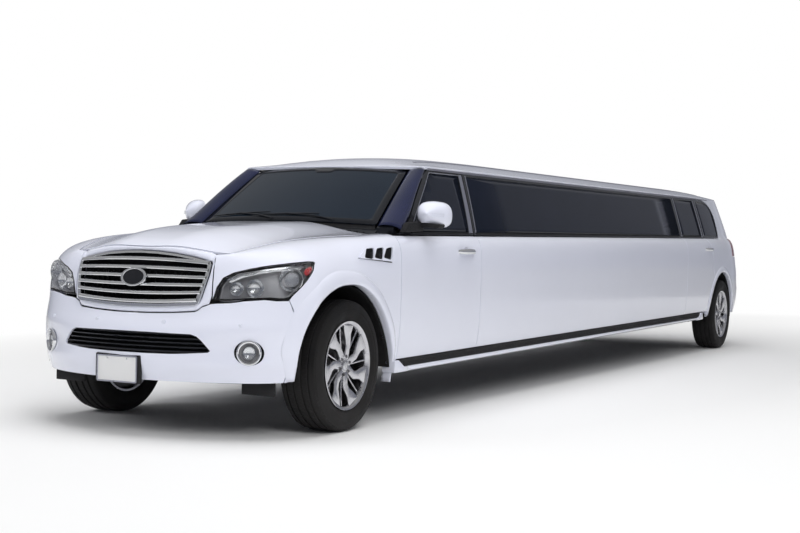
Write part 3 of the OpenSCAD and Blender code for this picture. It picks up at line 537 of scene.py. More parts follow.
def dust_and_shade_group():
    """Dust, more of it lower down and broken up by noise: real road dust on the dark parts, and painted shade on the
    lower white body.
    """
    g, a, b = new_group("Road dust and low shade", [("Vector", "NodeSocketVector", None), ("Plain above", "NodeSocketFloat", .9),
                                      ("Amount", "NodeSocketFloat", .2)], [("Mask", "NodeSocketFloat")])
    xyz = new_node(g, "SeparateXYZ")
    noise = new_node(g, "TexNoise")
    noise.inputs["Scale"].default_value, noise.inputs["Detail"].default_value = 4, 6
    fall = new_node(g, "MapRange")
    fall.inputs["To Min"].default_value, fall.inputs["To Max"].default_value = 1, 0
    fall.inputs["From Min"].default_value = 0
    by_noise, by_amount = new_node(g, "Math"), new_node(g, "Math")
    by_noise.operation = by_amount.operation = "MULTIPLY"
    wire(g, (a, "Vector", xyz, 0), (a, "Vector", noise, "Vector"), (xyz, "Z", fall, "Value"),
         (a, "Plain above", fall, "From Max"), (fall, "Result", by_noise, 0), (noise, "Fac", by_noise, 1),
         (by_noise, 0, by_amount, 0), (a, "Amount", by_amount, 1), (by_amount, 0, b, "Mask"))
    return g


def cell_group():
    """Pebbled cells for leather and moulded plastic: raised cells with creases between them, and a mask that darkens
    the creases as painted shade.
    """
    g, a, b = new_group("Pebbled cells", [("Vector", "NodeSocketVector", None), ("Scale", "NodeSocketFloat", 300.0)],
                        [("Height", "NodeSocketFloat"), ("Crease shade", "NodeSocketFloat")])
    warp = new_node(g, "TexNoise")
    warp.inputs["Scale"].default_value = 40
    add = new_node(g, "VectorMath")
    add.operation = "MULTIPLY_ADD"
    add.inputs[1].default_value = (.004, .004, .004)
    cells = new_node(g, "TexVoronoi")
    cells.feature = "DISTANCE_TO_EDGE"
    rise = new_node(g, "MapRange")
    rise.inputs["From Max"].default_value = .18
    crease_shade = new_node(g, "MapRange")
    crease_shade.inputs["From Max"].default_value = .1
    crease_shade.inputs["To Min"].default_value, crease_shade.inputs["To Max"].default_value = 1, 0
    wire(g, (a, "Vector", warp, "Vector"), (warp, "Color", add, 0), (a, "Vector", add, 2), (add, 0, cells, "Vector"),
         (a, "Scale", cells, "Scale"), (cells, "Distance", rise, "Value"), (cells, "Distance", crease_shade, "Value"),
         (rise, "Result", b, "Height"), (crease_shade, "Result", b, "Crease shade"))
    return g


GRAIN, DUST_AND_SHADE, CELLS = grain_group(), dust_and_shade_group(), cell_group()
# colour of the dust, which on the white paint also serves as painted shade
DUST_AND_SHADE_COLOUR = (.36, .34, .33, 1)


def finish(name, slot, colour, second=None, rough=.4, rough_to=None, metallic=0.0, coat=0.0, bump=0.0, fine=200.0,
           slow=3.0, dust_and_shade=0.0, plain_above=.9, cells=0.0, through=0.0, specular=.5):
    """A finish in two close colours and two roughness values, with fine grain, optional pebbling whose creases carry
    painted shade, and dust that on the white paint is painted shade low on the body.
    """
    m = bpy.data.materials.new(name)
    m["slot"] = slot
    m.use_nodes = True
    nt = m.node_tree
    shader = nt.nodes["Principled BSDF"]
    place = new_node(nt, "TexCoord")
    grain = new_node(nt, "Group")
    grain.node_tree = GRAIN
    grain.inputs["Fine scale"].default_value, grain.inputs["Slow scale"].default_value = fine, slow
    wire(nt, (place, "Object", grain, "Vector"))
    blend = new_node(nt, "Mix")
    blend.data_type = "RGBA"
    blend.inputs["A"].default_value = (*colour, 1)
    blend.inputs["B"].default_value = (*(second or tuple(c * .93 for c in colour)), 1)
    wire(nt, (grain, "Mask", blend, "Factor"))
    out = blend.outputs["Result"]
    if cells:
        pebble = new_node(nt, "Group")
        pebble.node_tree = CELLS
        pebble.inputs["Scale"].default_value = cells
        wire(nt, (place, "Object", pebble, "Vector"))
        # painted shade: the colour is darkened to .55 of itself in the creases between the cells
        crease_shaded = new_node(nt, "Mix")
        crease_shaded.data_type = "RGBA"
        crease_shaded.inputs["B"].default_value = (*tuple(c * .55 for c in colour), 1)
        wire(nt, (pebble, "Crease shade", crease_shaded, "Factor"))
        nt.links.new(out, crease_shaded.inputs["A"])
        out = crease_shaded.outputs["Result"]
    # dust towards the bottom; on the white paint this darkening is painted shade on the lower body
    if dust_and_shade:
        dust_and_shade_film = new_node(nt, "Group")
        dust_and_shade_film.node_tree = DUST_AND_SHADE
        dust_and_shade_film.inputs["Amount"].default_value, dust_and_shade_film.inputs["Plain above"].default_value = dust_and_shade, plain_above
        wire(nt, (place, "Object", dust_and_shade_film, "Vector"))
        dust_and_shade_mix = new_node(nt, "Mix")
        dust_and_shade_mix.data_type = "RGBA"
        dust_and_shade_mix.inputs["B"].default_value = DUST_AND_SHADE_COLOUR
        wire(nt, (dust_and_shade_film, "Mask", dust_and_shade_mix, "Factor"))
        nt.links.new(out, dust_and_shade_mix.inputs["A"])
        out = dust_and_shade_mix.outputs["Result"]
    nt.links.new(out, shader.inputs["Base Color"])
    shade = new_node(nt, "MapRange")
    shade.inputs["To Min"].default_value = rough
    shade.inputs["To Max"].default_value = rough_to if rough_to is not None else min(1, rough * 1.25)
    wire(nt, (grain, "Mask", shade, "Value"), (shade, "Result", shader, "Roughness"))
    if bump:
        b = new_node(nt, "Bump")
        b.inputs["Strength"].default_value, b.inputs["Distance"].default_value = bump, .001
        nt.links.new((pebble if cells else grain).outputs["Height"], b.inputs["Height"])
        wire(nt, (b, "Normal", shader, "Normal"))
    for socket, value in (("Metallic", metallic), ("Coat Weight", coat), ("Coat Roughness", .03),
                          ("Transmission Weight", through), ("IOR", 1.45), ("Specular IOR Level", specular)):
        shader.inputs[socket].default_value = value
    return m


# painted reflection: the blue-lavender tint of this white stands in for the sky reflected in the sides; its dust low
# down is painted shade
white_paint = finish("white_paint", "white_paint", (.79, .81, .92), (.77, .79, .90), rough=.22, rough_to=.26, coat=1.0,
                     bump=.03, fine=900, slow=1.2, dust_and_shade=.10, plain_above=.55)
pillar_black = finish("pillar_black", "gloss_black", (.008, .012, .040), (.012, .016, .055), rough=.06, coat=.3,
                      specular=.4)
trim_black = finish("trim_black", "gloss_black", (.010, .011, .014), (.014, .015, .019), rough=.10, coat=.1,
                    specular=.3)
seal_rubber = finish("seal_rubber", "black_plastic", (.012, .012, .013), rough=.55, bump=.1, fine=1200, specular=.2)
dark_glass = finish("dark_glass", "dark_glass", (.010, .013, .022), (.012, .015, .026), rough=.02, rough_to=.03,
                    through=.06, specular=.10)
shield_glass = finish("shield_glass", "windshield_glass", (.010, .019, .034), (.012, .022, .038), rough=.01,
                      rough_to=.02, through=.35, specular=.16)
chrome = finish("chrome", "chrome", (.78, .79, .81), (.74, .75, .77), rough=.05, rough_to=.09, metallic=1.0)
satin_strip = finish("satin_strip", "chrome", (.42, .43, .50), (.36, .37, .44), rough=.25, rough_to=.35, metallic=.9)
drip_grey = finish("drip_grey", "black_plastic", (.13, .13, .16), (.10, .10, .13), rough=.4, coat=.2)
alloy = finish("machined_alloy", "chrome", (.62, .62, .64), (.55, .55, .58), rough=.16, rough_to=.28, metallic=1.0,
               bump=.05, fine=600, slow=14, dust_and_shade=.12)
# painted shade: a darker copy of the machined alloy, for the inside of the rim behind the spokes and for the wheel nuts
alloy_shaded = finish("alloy_shaded_copy", "chrome", (.20, .20, .215), (.15, .15, .16), rough=.3, rough_to=.42, metallic=.9,
                    bump=.05, fine=500, dust_and_shade=.2)
tyre_rubber = finish("tyre_rubber", "tyre", (.010, .010, .011), (.014, .0135, .0135), rough=.62, rough_to=.8, bump=.25,
                     fine=700, slow=9, dust_and_shade=.10, plain_above=.8, specular=.16)
arch_black = finish("arch_black", "black_plastic", (.009, .009, .010), (.014, .014, .015), rough=.75, bump=.5,
                    cells=420, dust_and_shade=.12, specular=.12)
grained_black = finish("grained_black", "black_plastic", (.020, .020, .022), (.026, .026, .028), rough=.55, bump=.4,
                       cells=900, dust_and_shade=.05, specular=.18)
deep_black = finish("deep_black", "black_plastic", (.006, .006, .007), rough=.5, bump=.1, fine=600, specular=.12)
board_rubber = finish("board_rubber", "board_black", (.022, .022, .024), (.03, .03, .032), rough=.6, bump=.4, cells=700,
                      dust_and_shade=.06, specular=.15)
lens_clear = finish("lens_clear", "lamp_clear", (.93, .95, .96), (.92, .94, .95), rough=.01, rough_to=.02, through=1.0)
lens_clear.node_tree.nodes["Principled BSDF"].inputs["Alpha"].default_value = .22
lens_red = finish("lens_red", "lamp_red", (.42, .010, .014), (.36, .008, .012), rough=.04, rough_to=.06, through=.35,
                  coat=.5)
reflector_red = finish("reflector_red", "lamp_red", (.55, .03, .04), (.45, .02, .03), rough=.25, coat=.4, bump=.6,
                       cells=500)
lamp_bowl = finish("lamp_bowl", "chrome", (.70, .71, .73), (.60, .61, .63), rough=.12, rough_to=.2, metallic=1.0)
lamp_grey = finish("lamp_grey", "black_plastic", (.30, .30, .32), (.42, .42, .44), rough=.3, coat=.4)
plate_white = finish("plate_white", "plate_white", (.80, .80, .80), (.76, .76, .76), rough=.35, coat=.3, bump=.05,
                     fine=300)
steel = finish("bare_steel", "steel", (.40, .40, .41), (.30, .29, .28), rough=.3, rough_to=.5, metallic=.9, bump=.2,
               fine=300, dust_and_shade=.3)
cast = finish("cast_metal", "cast_metal", (.24, .24, .25), (.16, .155, .15), rough=.5, rough_to=.7, metallic=.7,
              bump=.5, fine=500, dust_and_shade=.35)
chassis_black = finish("chassis_black", "chassis_black", (.020, .020, .021), (.03, .029, .028), rough=.5,
                       rough_to=.7, bump=.2, fine=300, dust_and_shade=.35)
leather = finish("dark_leather", "leather", (.060, .046, .040), (.045, .034, .030), rough=.42, rough_to=.55, bump=.55,
                 cells=520, specular=.45)
carpet = finish("floor_carpet", "leather", (.035, .033, .033), (.05, .047, .046), rough=.95, bump=1.0, fine=900)

# CAD pieces that keep their own shape
for names, material in (
        ("chassis_frame rear_axle fuel_tank", chassis_black), ("engine_block front_suspension driveshaft", cast),
        ("knuckle_left knuckle_right", cast), ("exhaust", steel), ("floor_pan", carpet),
        ("dashboard steering_wheel", grained_black), ("partition", leather),
        ("windshield_frame", trim_black)):
    for node in names.split():
        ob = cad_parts[node]
        ob.data.materials.clear()
        ob.data.materials.append(material)


# ---------------------------------------------------------------- outer panels
LOW_CUTS = [.36, .40, .45, .50, .56, .62, .68, .74, .80, .85, .90, .95, 1.00, 1.04, 1.08, 1.11, 1.14, 1.165, 1.185,
            1.205, 1.22, 1.235, 1.25]
HIGH_CUTS = [1.30, 1.36, 1.42, 1.48, 1.54, 1.60, 1.65, 1.69]
UP = (1, 0, 0)


def belt(s0, s1, n):
    """Points along the top of the body side under the glass."""
    return [(mix(s0, s1, i / n), edge_h(mix(s0, s1, i / n)) - .006) for i in range(n + 1)]


def arch_line(s0, r, a0, a1, n):
    return [(s0 + r * math.cos(a) * (1.13 if math.cos(a) < 0 else 1), HUB_Z + r * math.sin(a) - lift(s0))
            for a in (math.radians(mix(a0, a1, i / n)) for i in range(n + 1))]


# front door, its window frame and glass
door_low = [(DOOR_FRONT, DOOR_FOOT)] + [(DOOR_FRONT, h) for h in (.8, 1.1)] + belt(DOOR_FRONT, DOOR_REAR + .006, 6) + [
    (DOOR_REAR, 1.150), (DOOR_POST, .850), (DOOR_POST, DOOR_FOOT)]
pair("front_door_skin", panel(door_low, side_point, steps(DOOR_FRONT, DOOR_REAR, 10), LOW_CUTS, UP), white_paint,
     "front_door_@", ["front_door_@"], **SKIN)
door_frame = [(.700, 1.243), (.883, 1.270), (1.130, 1.478), (1.340, 1.636), (1.452, FRAME_TOP), (2.062, FRAME_TOP),
              (1.988, 1.244)]
door_pane = rounded([(.945, 1.262), (1.170, 1.446), (1.350, 1.582), (1.490, PANE_TOP), (1.990, PANE_TOP),
                     (1.905, 1.262)], .02)
pair("front_door_frame", panel(rounded(door_frame, .02), side_point, steps(.7, 2.07, 12), [1.262] + HIGH_CUTS, UP,
                               [door_pane]), trim_black, "front_door_@", **FRAME)


def sunk(place, depth):
    """The same surface set inward."""
    def at(a, b):
        p = place(a, b)
        return Vector((p.x - depth, p.y, p.z))
    return at


def shrunk(loop, g):
    """An outline a little smaller, for a pane in its opening."""
    n = len(loop)
    area = sum(loop[i - 1][0] * loop[i][1] - loop[i][0] * loop[i - 1][1] for i in range(n))
    turn = 1 if area > 0 else -1
    out = []
    for i in range(n):
        p, a, b = Vector(loop[i]), Vector(loop[i - 1]), Vector(loop[(i + 1) % n])
        d = (p - a).normalized() + (b - p).normalized()
        nrm = Vector((-d.y, d.x)).normalized()
        out.append(tuple(p + nrm * g * turn))
    return out


def pane(loop):
    """A window pane with a fine gap to its opening."""
    return panel(shrunk(loop, .0015), sunk(side_point, .004),
                 steps(min(p[0] for p in loop), max(p[0] for p in loop), 8), HIGH_CUTS, UP)


pair("front_door_glass", pane(door_pane), dark_glass, "front_door_@", ["front_door_glass_@"], wall=.005)

# fixed side between the doors
wall_low = [(DOOR_POST + GAP, DOOR_FOOT), (DOOR_POST + GAP, .850), (DOOR_REAR + GAP, 1.150)] + belt(
    DOOR_REAR + .006 + GAP, REAR_DOOR_FRONT - GAP, 24) + [(REAR_DOOR_FRONT - GAP, DOOR_FOOT)]
pair("side_wall_skin", panel(wall_low, side_point, steps(2.0, 7.6, 40), LOW_CUTS, UP), white_paint, "body",
     ["side_wall_@"], **SKIN)
long_frame = [(1.996, 1.245), (2.072, 1.712), (7.660, 1.712), (7.594, 1.257)]
long_pane = rounded([(2.046, 1.262), (2.128, PANE_TOP), (7.604, PANE_TOP), (7.552, 1.272)], .015)
pair("side_window_frame", panel(long_frame, side_point, steps(2.0, 7.66, 30), [1.262] + HIGH_CUTS, UP, [long_pane]),
     trim_black, **FRAME)
quarter_frame = [(8.513, 1.262), (8.535, 1.712), (8.98, 1.709), (9.20, 1.680), (9.33, 1.630), (9.392, 1.560),
                 (9.405, 1.480), (9.378, 1.370), (9.345, 1.290), (9.310, 1.2635)]
quarter_frame = quarter_frame[:2] + rounded(quarter_frame, .05)[10:]     # its two front corners stay sharp
quarter_pane = rounded([(8.571, 1.286), (8.605, 1.690), (8.975, 1.688), (9.190, 1.660), (9.315, 1.608), (9.370, 1.545),
                        (9.380, 1.480), (9.352, 1.380), (9.322, 1.305), (9.290, 1.284)], .03)
pair("quarter_window_frame", panel(quarter_frame, side_point, steps(8.5, 9.4, 12), HIGH_CUTS, UP, [quarter_pane]),
     trim_black, **FRAME)
side_glass = both_sides(joined(pane(long_pane), pane(quarter_pane)))
piece("side_window_glass", side_glass, dark_glass, "body", ["side_windows"], wall=.005)

# rear door, its window frame and glass
rear_arch = arch_line(WHEELBASE, ARCH_R + .062, 128, 178, 8)
rear_low = [(REAR_DOOR_FRONT, DOOR_FOOT)] + belt(REAR_DOOR_FRONT, REAR_FRAME_REAR, 6) + [
    (8.560, 1.235), (8.645, 1.160), (REAR_DOOR_REAR, 1.060), (REAR_DOOR_REAR, .960)] + rear_arch + [(8.532, DOOR_FOOT)]
pair("rear_door_skin", panel(rear_low, side_point, steps(7.6, 8.68, 9), LOW_CUTS, UP), white_paint, "rear_door_@",
     ["rear_door_@"], **SKIN)
rear_frame = [(REAR_DOOR_FRONT, 1.257), (7.666, FRAME_TOP), (8.529, FRAME_TOP), (REAR_FRAME_REAR, 1.262)]
rear_pane = rounded([(7.655, 1.286), (7.722, PANE_TOP), (8.462, PANE_TOP), (8.436, 1.286)], .015)
pair("rear_door_frame", panel(rear_frame, side_point, steps(7.6, 8.53, 8), HIGH_CUTS, UP, [rear_pane]), trim_black,
     "rear_door_@", **FRAME)
pair("rear_door_glass", pane(rear_pane), dark_glass, "rear_door_@", ["rear_door_glass_@"], wall=.005)

# rear quarter, from the rear door round to the tailgate
GATE_X = .700


def by_gate(x, h):
    """A place on the quarter's outline, one gap beside the tailgate's edge x."""
    return (TAIL_S + TAIL_RUN * tail_k_at_x(x + GAP, h), h)


quarter = [(8.513, 1.256)] + belt(8.56, 9.30, 6) + [
    (9.318, 1.262), (9.352, 1.286), (9.386, 1.370), (9.413, 1.480), (9.400, 1.565), (9.336, 1.637), (9.205, 1.687),
    (8.985, 1.716), (8.545, 1.718), (8.545, 1.724), (9.0, ROOF_EDGE), (9.4, ROOF_EDGE), (TAIL_S, ROOF_EDGE)]
quarter += [(TAIL_S + TAIL_RUN * k, ROOF_EDGE) for k in (.02, .06, .12, .18)]
gate_side = [(.640, 1.735), (.632, 1.700), (.655, 1.580), (.680, 1.450), (GATE_X, 1.330)]
quarter += [by_gate(x, h) for x, h in gate_side] + [by_gate(GATE_X, 1.30), by_gate(GATE_X, 1.266)]
quarter += [quarter_flat(9.735, 1.266), quarter_flat(9.735, 1.036)]
quarter += [by_gate(GATE_X, h) for h in (1.036, .95, .85, .75, .696)]
quarter += [quarter_flat(s, h) for s, h in ((10.3, .682), (10.15, .668), (9.95, .641), (9.875, .640), (9.875, .50),
                                            (9.875, .34))]
quarter += [(9.70, LIP_H)]
rear_lip = arch_line(WHEELBASE, ARCH_R, -10, 188, 30)
quarter += [p for p in rear_lip if p[1] > LIP_H]
quarter += [(8.575, LIP_H), (8.545, DOOR_FOOT)] + [(s + (.010 if h < 1.0 else .007), h) for s, h in reversed(rear_arch)]
quarter += [(8.681, .960), (8.681, 1.063), (8.650, 1.165), (8.564, 1.240)]
K_CUTS = [TAIL_S + TAIL_RUN * k for k in (.006, .014, .026, .04, .06, .085, .115, .15, .19, .24, .30, .36, .42, .48,
                                          .54)]
pair("rear_quarter_skin", panel(quarter, quarter_point, steps(8.5, TAIL_S, 12) + [TAIL_S] + K_CUTS,
                                LOW_CUTS + HIGH_CUTS, UP), white_paint, "body", ["rear_quarter_@"], **SKIN)

# tailgate, its glass and the spoiler above it
K_GATE = [.35, .45, .54, .62, .69, .75, .80, .845, .88, .91, .935, .955, .972, .985, .994]


def seen(x, h):
    """A place on the tail's flat pattern, given as seen from behind."""
    return (tail_k_at_x(x, h), h)


gate_edge = [(GATE_X, .700), (GATE_X, 1.000), (GATE_X, 1.330), (.666, 1.520), (.632, 1.700), (.620, ROOF_EDGE)]
gate = [seen(x, h) for x, h in gate_edge]
gate += [seen(x, ROOF_EDGE + .07 * (1 - (x / .6) ** 2)) for x in (.55, .4, .25, .12)]
gate += [(1, 1.798), (1, 1.704)] + [seen(x, 1.700) for x in (.2, .4, .53)] + [seen(.586, 1.388)]
gate += [seen(x, 1.384) for x in (.4, .2)] + [(1, 1.384), (1, .700)]
gate_skin = panel(gate, tail_point, K_GATE, LOW_CUTS + HIGH_CUTS + [.75], (0, 1, 0))
piece("tailgate_skin", whole_from_half(gate_skin), white_paint, "tailgate", ["tailgate"], **SKIN)


def sunk_back(place, depth):
    """The same surface set forward."""
    def at(a, b):
        p = place(a, b)
        return Vector((p.x, p.y - depth, p.z))
    return at


back_pane = [(1, 1.390)] + [seen(x, 1.390) for x in (.2, .4, .583)] + [seen(x, 1.698) for x in (.527, .4, .2)]
back_pane += [(1, 1.698)]
piece("tailgate_glass", whole_from_half(panel(back_pane, sunk_back(tail_point, .003), K_GATE, HIGH_CUTS, (0, 1, 0))),
      dark_glass, "tailgate", ["rear_window"], wall=.005)

K_BUMPER = [.004, .012, .024, .04, .06, .09, .12, .16, .20, .26, .32, .4, .5, .6, .68, .75, .81, .86, .90, .93, .955,
            .975, .99]
bump_low = [(1, LIP_H), (1, .690)] + [(k, .690) for k in (.9, .8, .7, .6)] + [
    (tail_k_at_s(s, h), h) for s, h in ((10.3, .676), (10.15, .662), (9.95, .635), (9.881, .634))] + [
    (tail_k_at_s(9.881, h), h) for h in (.5, .34)] + [(k, LIP_H) for k in (.3, .6, .8)]
piece("rear_bumper_skin", whole_from_half(panel(bump_low, tail_point, K_BUMPER, LOW_CUTS, (0, 1, 0))), white_paint,
      "body", ["rear_bumper"], wall=.022, bevel=.003)


def spoiler_point(u, v):
    """u runs rearward and v across the car."""
    s, q = mix(GATE_S + .004, 10.075, u), mix(-1, 1, v)
    z = mix(roof_crown(s), EAVE_H, abs(q) ** 2.5) + lift(s)
    return Vector((roof_half(GATE_S) * .96 * q, AXLE_Y + s - .06 * q * q * (s - GATE_S) / .15, z))


piece("roof_spoiler", patch(8, 40, spoiler_point, (0, 0, 1)), white_paint, "tailgate", wall=.018, bevel=.004)

# roof
def roof_place(u, v):
    s = 1.396 + (9.921 - 1.396) * u
    return roof_point(s, mix(-1, 1, v))


piece("roof_skin", patch(110, 44, roof_place, (0, 0, 1)), white_paint, "body", ["roof_panel"], wall=.024, bevel=.004)


# hood
def hood_place(u, v):
    return hood_point(mix(-.712, .720, u), mix(-1, 1, v))


piece("hood_skin", patch(56, 48, hood_place, (0, 0, 1)), white_paint, "hood", ["hood"], wall=.016, bevel=.003)

# front fender; the lamp's outline is (u, v) on the fender's flat pattern
LAMP = [(.356, .985), (.367, 1.181), (.396, 1.329), (.453, 1.413), (.546, 1.455), (.645, 1.466), (.789, 1.455),
        (.950, 1.432), (1.004, 1.412), (1.014, 1.392), (.958, 1.290), (.866, 1.177), (.783, 1.075), (.735, 1.012),
        (.695, 1.000), (.605, 1.012), (.498, 1.000), (.425, .985)]
LAMP = rounded(LAMP, .014, 3)


def swollen(loop, g):
    """The lamp's outline made larger by g metres or so."""
    cu = sum(p[0] for p in loop) / len(loop)
    cv = sum(p[1] for p in loop) / len(loop)
    return [(u + (u - cu) * g * 4, v + (v - cv) * g * 6) for u, v in loop]


SEAM = [(-.600, .842), (-.588, .790), (-.575, .730), (-.568, .670), (-.576, .613), (-.585, .541), (-.596, .454),
        (-.606, .352)]
ARCH_RADII = smooth_curve([(-30, .64), (-10, .615), (10, .570), (30, .532), (49, .514), (66, .507), (89, .506),
                           (110, .524), (127, .548), (140, .566), (154, .570), (167, .563), (180, .554), (200, .556)])


def front_arch(a, grow=0):
    """Edge of the front wheel opening at a degrees, as (s, height)."""
    r = ARCH_RADII(a) + grow
    return r * math.cos(math.radians(a)), HUB_Z + r * math.sin(math.radians(a))


ARCH_FRONT = [p for p in (front_arch(mix(-8, 190, i / 44)) for i in range(45)) if p[1] > .345]
fender = [(2 - GAP, v) for v in (0, .3, .7, 1, 1.3, 1.6, 1.85)] + [(2 - GAP, 1.985)]
fender += [(u, 1.985) for u in (1.8, 1.5, 1.2, 1.0, .9, .8, .7, .6, .5, .42, .36, .345)]
fender += [(.345, v) for v in (1.8, 1.6, 1.4, 1.2, 1.05, .985)]
lamp_gap = swollen(LAMP, .006)
start = min(range(len(lamp_gap)), key=lambda i: abs(lamp_gap[i][0] - .345) + abs(lamp_gap[i][1] - .96))
walk = [lamp_gap[(start + i) % len(lamp_gap)] for i in range(len(lamp_gap))]
fender += [p for p in walk if not (p[1] < 1.02 and p[0] < .74)]
fender += [fender_flat(s, h) for s, h in SEAM[:1]] + [fender_flat(s + .005, h) for s, h in SEAM[1:]]
fender += [fender_flat(s, h) for s, h in reversed(ARCH_FRONT)]
U_CUTS = [.37, .40, .44, .48, .53, .58, .63, .68, .73, .78, .83, .88, .92, .96, 1.0] + steps(1, 2, 16)
V_CUTS = [.1, .2, .3, .4, .5, .6, .7, .8, .9, 1.0, 1.06, 1.12, 1.18, 1.24, 1.30, 1.36, 1.42, 1.48, 1.54, 1.60, 1.66,
          1.72, 1.78, 1.84, 1.89, 1.93, 1.96]
pair("front_fender_skin", panel(fender, fender_point, U_CUTS, V_CUTS, (1, -.4, .4)), white_paint, "body",
     ["front_fender_@"], wall=.016, bevel=.0025)


def flare(angles, ring):
    """The rounded lip round a wheel opening: t runs from the crease on the body to inside the arch."""
    proud, depth = .013, .055
    shape = [(0, -.004), (.06, .001), (.20, .007), (.42, .0115), (.66, proud), (.84, proud - .001), (.95, proud - .005),
             (1.0, proud - .012)]

    def place(u, v):
        a = mix(angles[0], angles[1], u)
        i = v * (len(shape) + 2)
        if i <= len(shape) - 1:
            k = min(int(i), len(shape) - 2)
            t, out = mix(shape[k][0], shape[k + 1][0], i - k), mix(shape[k][1], shape[k + 1][1], i - k)
            s, h = ring(a, t)
            return Vector((body_x(s, h - lift(s)) + out, AXLE_Y + s, h))
        s, h = ring(a, 1.0)
        x = body_x(s, h - lift(s)) + proud - .012 - depth * (i - len(shape) + 1) / 3
        return Vector((x, AXLE_Y + s, h))
    return patch(64, len(shape) + 2, place, (1, 0, .2))


def front_ring(a, t):
    """A place on the front flare at a degrees; t is 0 at its crease and 1 at the opening."""
    width = mix(.072, .105, ease(60, 130, a) * ease(190, 150, a)) * ease(-22, 25, a) * ease(202, 168, a) + .008
    s, h = front_arch(a, width * (1 - t))
    return s, h


pair("front_arch_flare", flare((-14, 186), front_ring), white_paint, wall=.004)


# front bumper, made as a half and joined along the middle
def oval(cx, cz, rx, rz, n=40):
    return [(cx + rx * math.cos(math.tau * i / n), cz + rz * math.sin(math.tau * i / n)) for i in range(n)]


LAMP_FLOOR = [(.912, .838), (.86, .836), (.80, .842), (.70, .833), (.62, .820), (.545, .816)]
GRILLE_FLOOR = [(.512, .812), (.462, .792), (.446, .774), (.425, .763), (.30, .754), (.20, .750), (.10, .747)]
INTAKE = [(.15, .640), (.30, .637), (.43, .635), (.468, .622), (.500, .594), (.547, .540), (.535, .530), (.42, .521),
          (.300, .514), (.15, .512)]
bumper = [(u, .350) for u in (0, .2, .4, .6)] + [(nose_u_at_s(s - .001, h), h) for s, h in reversed(SEAM[1:])]
bumper += [(nose_u_at_s(SEAM[0][0] - .001, .838), .838)]
bumper += [(nose_u_at_x(x, z), z) for x, z in LAMP_FLOOR[1:] + GRILLE_FLOOR]
bumper += [(0, .747), (0, .640)] + [(nose_u_at_x(x, h), h) for x, h in INTAKE] + [(0, .512)]
U_BUMP = [.02, .05, .09, .13, .17, .21, .26, .31, .36, .41, .46, .51, .56, .61, .66, .71, .74]
H_BUMP = [.37, .39, .42, .45, .48, .52, .56, .60, .64, .68, .71, .74, .77, .80]


def shaped_nose(u, h):
    """The nose with the raised brow over the fog lamp and the hollow around it."""
    p = nose_point(u, h)
    x = p.x
    hollow = .016 * math.exp(-((x - .70) / .15) ** 2 - ((h - .55) / .085) ** 2)
    brow = .007 * math.exp(-((x - .68) / .20) ** 2 - ((h - .665) / .030) ** 2)
    chin = .010 * math.exp(-((h - .455) / .035) ** 2) * ease(.3, .45, x) * ease(.92, .80, x)
    out = Vector((x, p.y - AXLE_Y + .1, 0)).normalized()
    return p + out * (brow + chin - hollow)


fog_opening = [(nose_u_at_x(x, z), z) for x, z in oval(FOG_X, FOG_H, .073, .073)]
front_skin = panel(bumper, shaped_nose, U_BUMP, H_BUMP, (.3, -1, 0), [fog_opening])
piece("front_bumper_skin", whole_from_half(front_skin), white_paint, "body", ["front_bumper"], wall=.014, bevel=.003)


# grille: broad bright surround, bowed bars, dark mesh behind
def grille_point(x, z, out=0.0):
    s = -.915 + .095 * (max(0, z - .753) / .366) ** 1.5 + .055 * (x / .48) ** 2
    return Vector((x, AXLE_Y + s - out, z))


def face_point(out):
    return lambda x, z: grille_point(x, z, out)


SURROUND = [(0, 1.112), (.12, 1.109), (.25, 1.098), (.36, 1.082), (.484, 1.056), (.492, 1.040), (.488, .980),
            (.474, .900), (.458, .824), (.450, .806), (.432, .796), (.31, .787), (.20, .781), (.10, .779), (0, .778)]
MOUTH = [(0, 1.099), (.12, 1.096), (.25, 1.085), (.36, 1.069), (.464, 1.046), (.471, 1.026), (.466, .970), (.452, .900),
         (.434, .838), (.424, .824), (.405, .816), (.30, .806), (.20, .800), (.10, .798), (0, .797)]
GX = [.03, .06, .09, .12, .16, .20, .24, .28, .32, .36, .40, .44, .47]
GZ = [.77, .79, .81, .83, .85, .87, .89, .91, .93, .95, .97, .99, 1.01, 1.03, 1.05, 1.07, 1.09]
half_ring = SURROUND + list(reversed(MOUTH))
surround = whole_from_half(panel(half_ring, face_point(.010), GX, GZ, (0, -1, 0)))
piece("grille_surround", surround, chrome, "body", ["grille"], wall=.030, bevel=.006, seg=3)
backing = whole_from_half(panel(SURROUND, face_point(-.060), GX, GZ, (0, -1, 0)))
piece("grille_backing", backing, deep_black, wall=.004)


def mouth_half_width(z):
    pts = sorted(((b, a) for a, b in MOUTH[4:11]), key=lambda p: p[0])
    return smooth_curve(pts)(min(max(z, pts[0][0]), pts[-1][0] - .004))


bars = []
for i in range(6):
    z = mix(.832, 1.050, i / 5)
    w = mouth_half_width(z) + .012
    sag = mix(-.020, .016, i / 5)

    def bar(u, v, z=z, w=w, sag=sag):
        x = mix(-w, w, u)
        a = math.tau * v
        zz = z + sag * (1 - (x / .46) ** 2) + .0125 * math.sin(a)
        return grille_point(x, zz, .004 + .014 * math.cos(a)) + Vector((0, .004 * math.sin(a), 0))
    bars.append(patch(28, 14, bar, (0, -1, 0)))
bar_set = joined(*bars)
bmesh.ops.remove_doubles(bar_set, verts=bar_set.verts, dist=.0004)
bmesh.ops.recalc_face_normals(bar_set, faces=bar_set.faces)
piece("grille_bars", bar_set, chrome)
ribs = joined(*[block(x - .003, x + .003, AXLE_Y - .885 + .055 * (x / .48) ** 2 + .012,
                      AXLE_Y - .885 + .055 * (x / .48) ** 2 + .030, .80, .99, .001, 1)
                for x in [i * .045 for i in range(-8, 9)]])
piece("grille_ribs", ribs, deep_black)
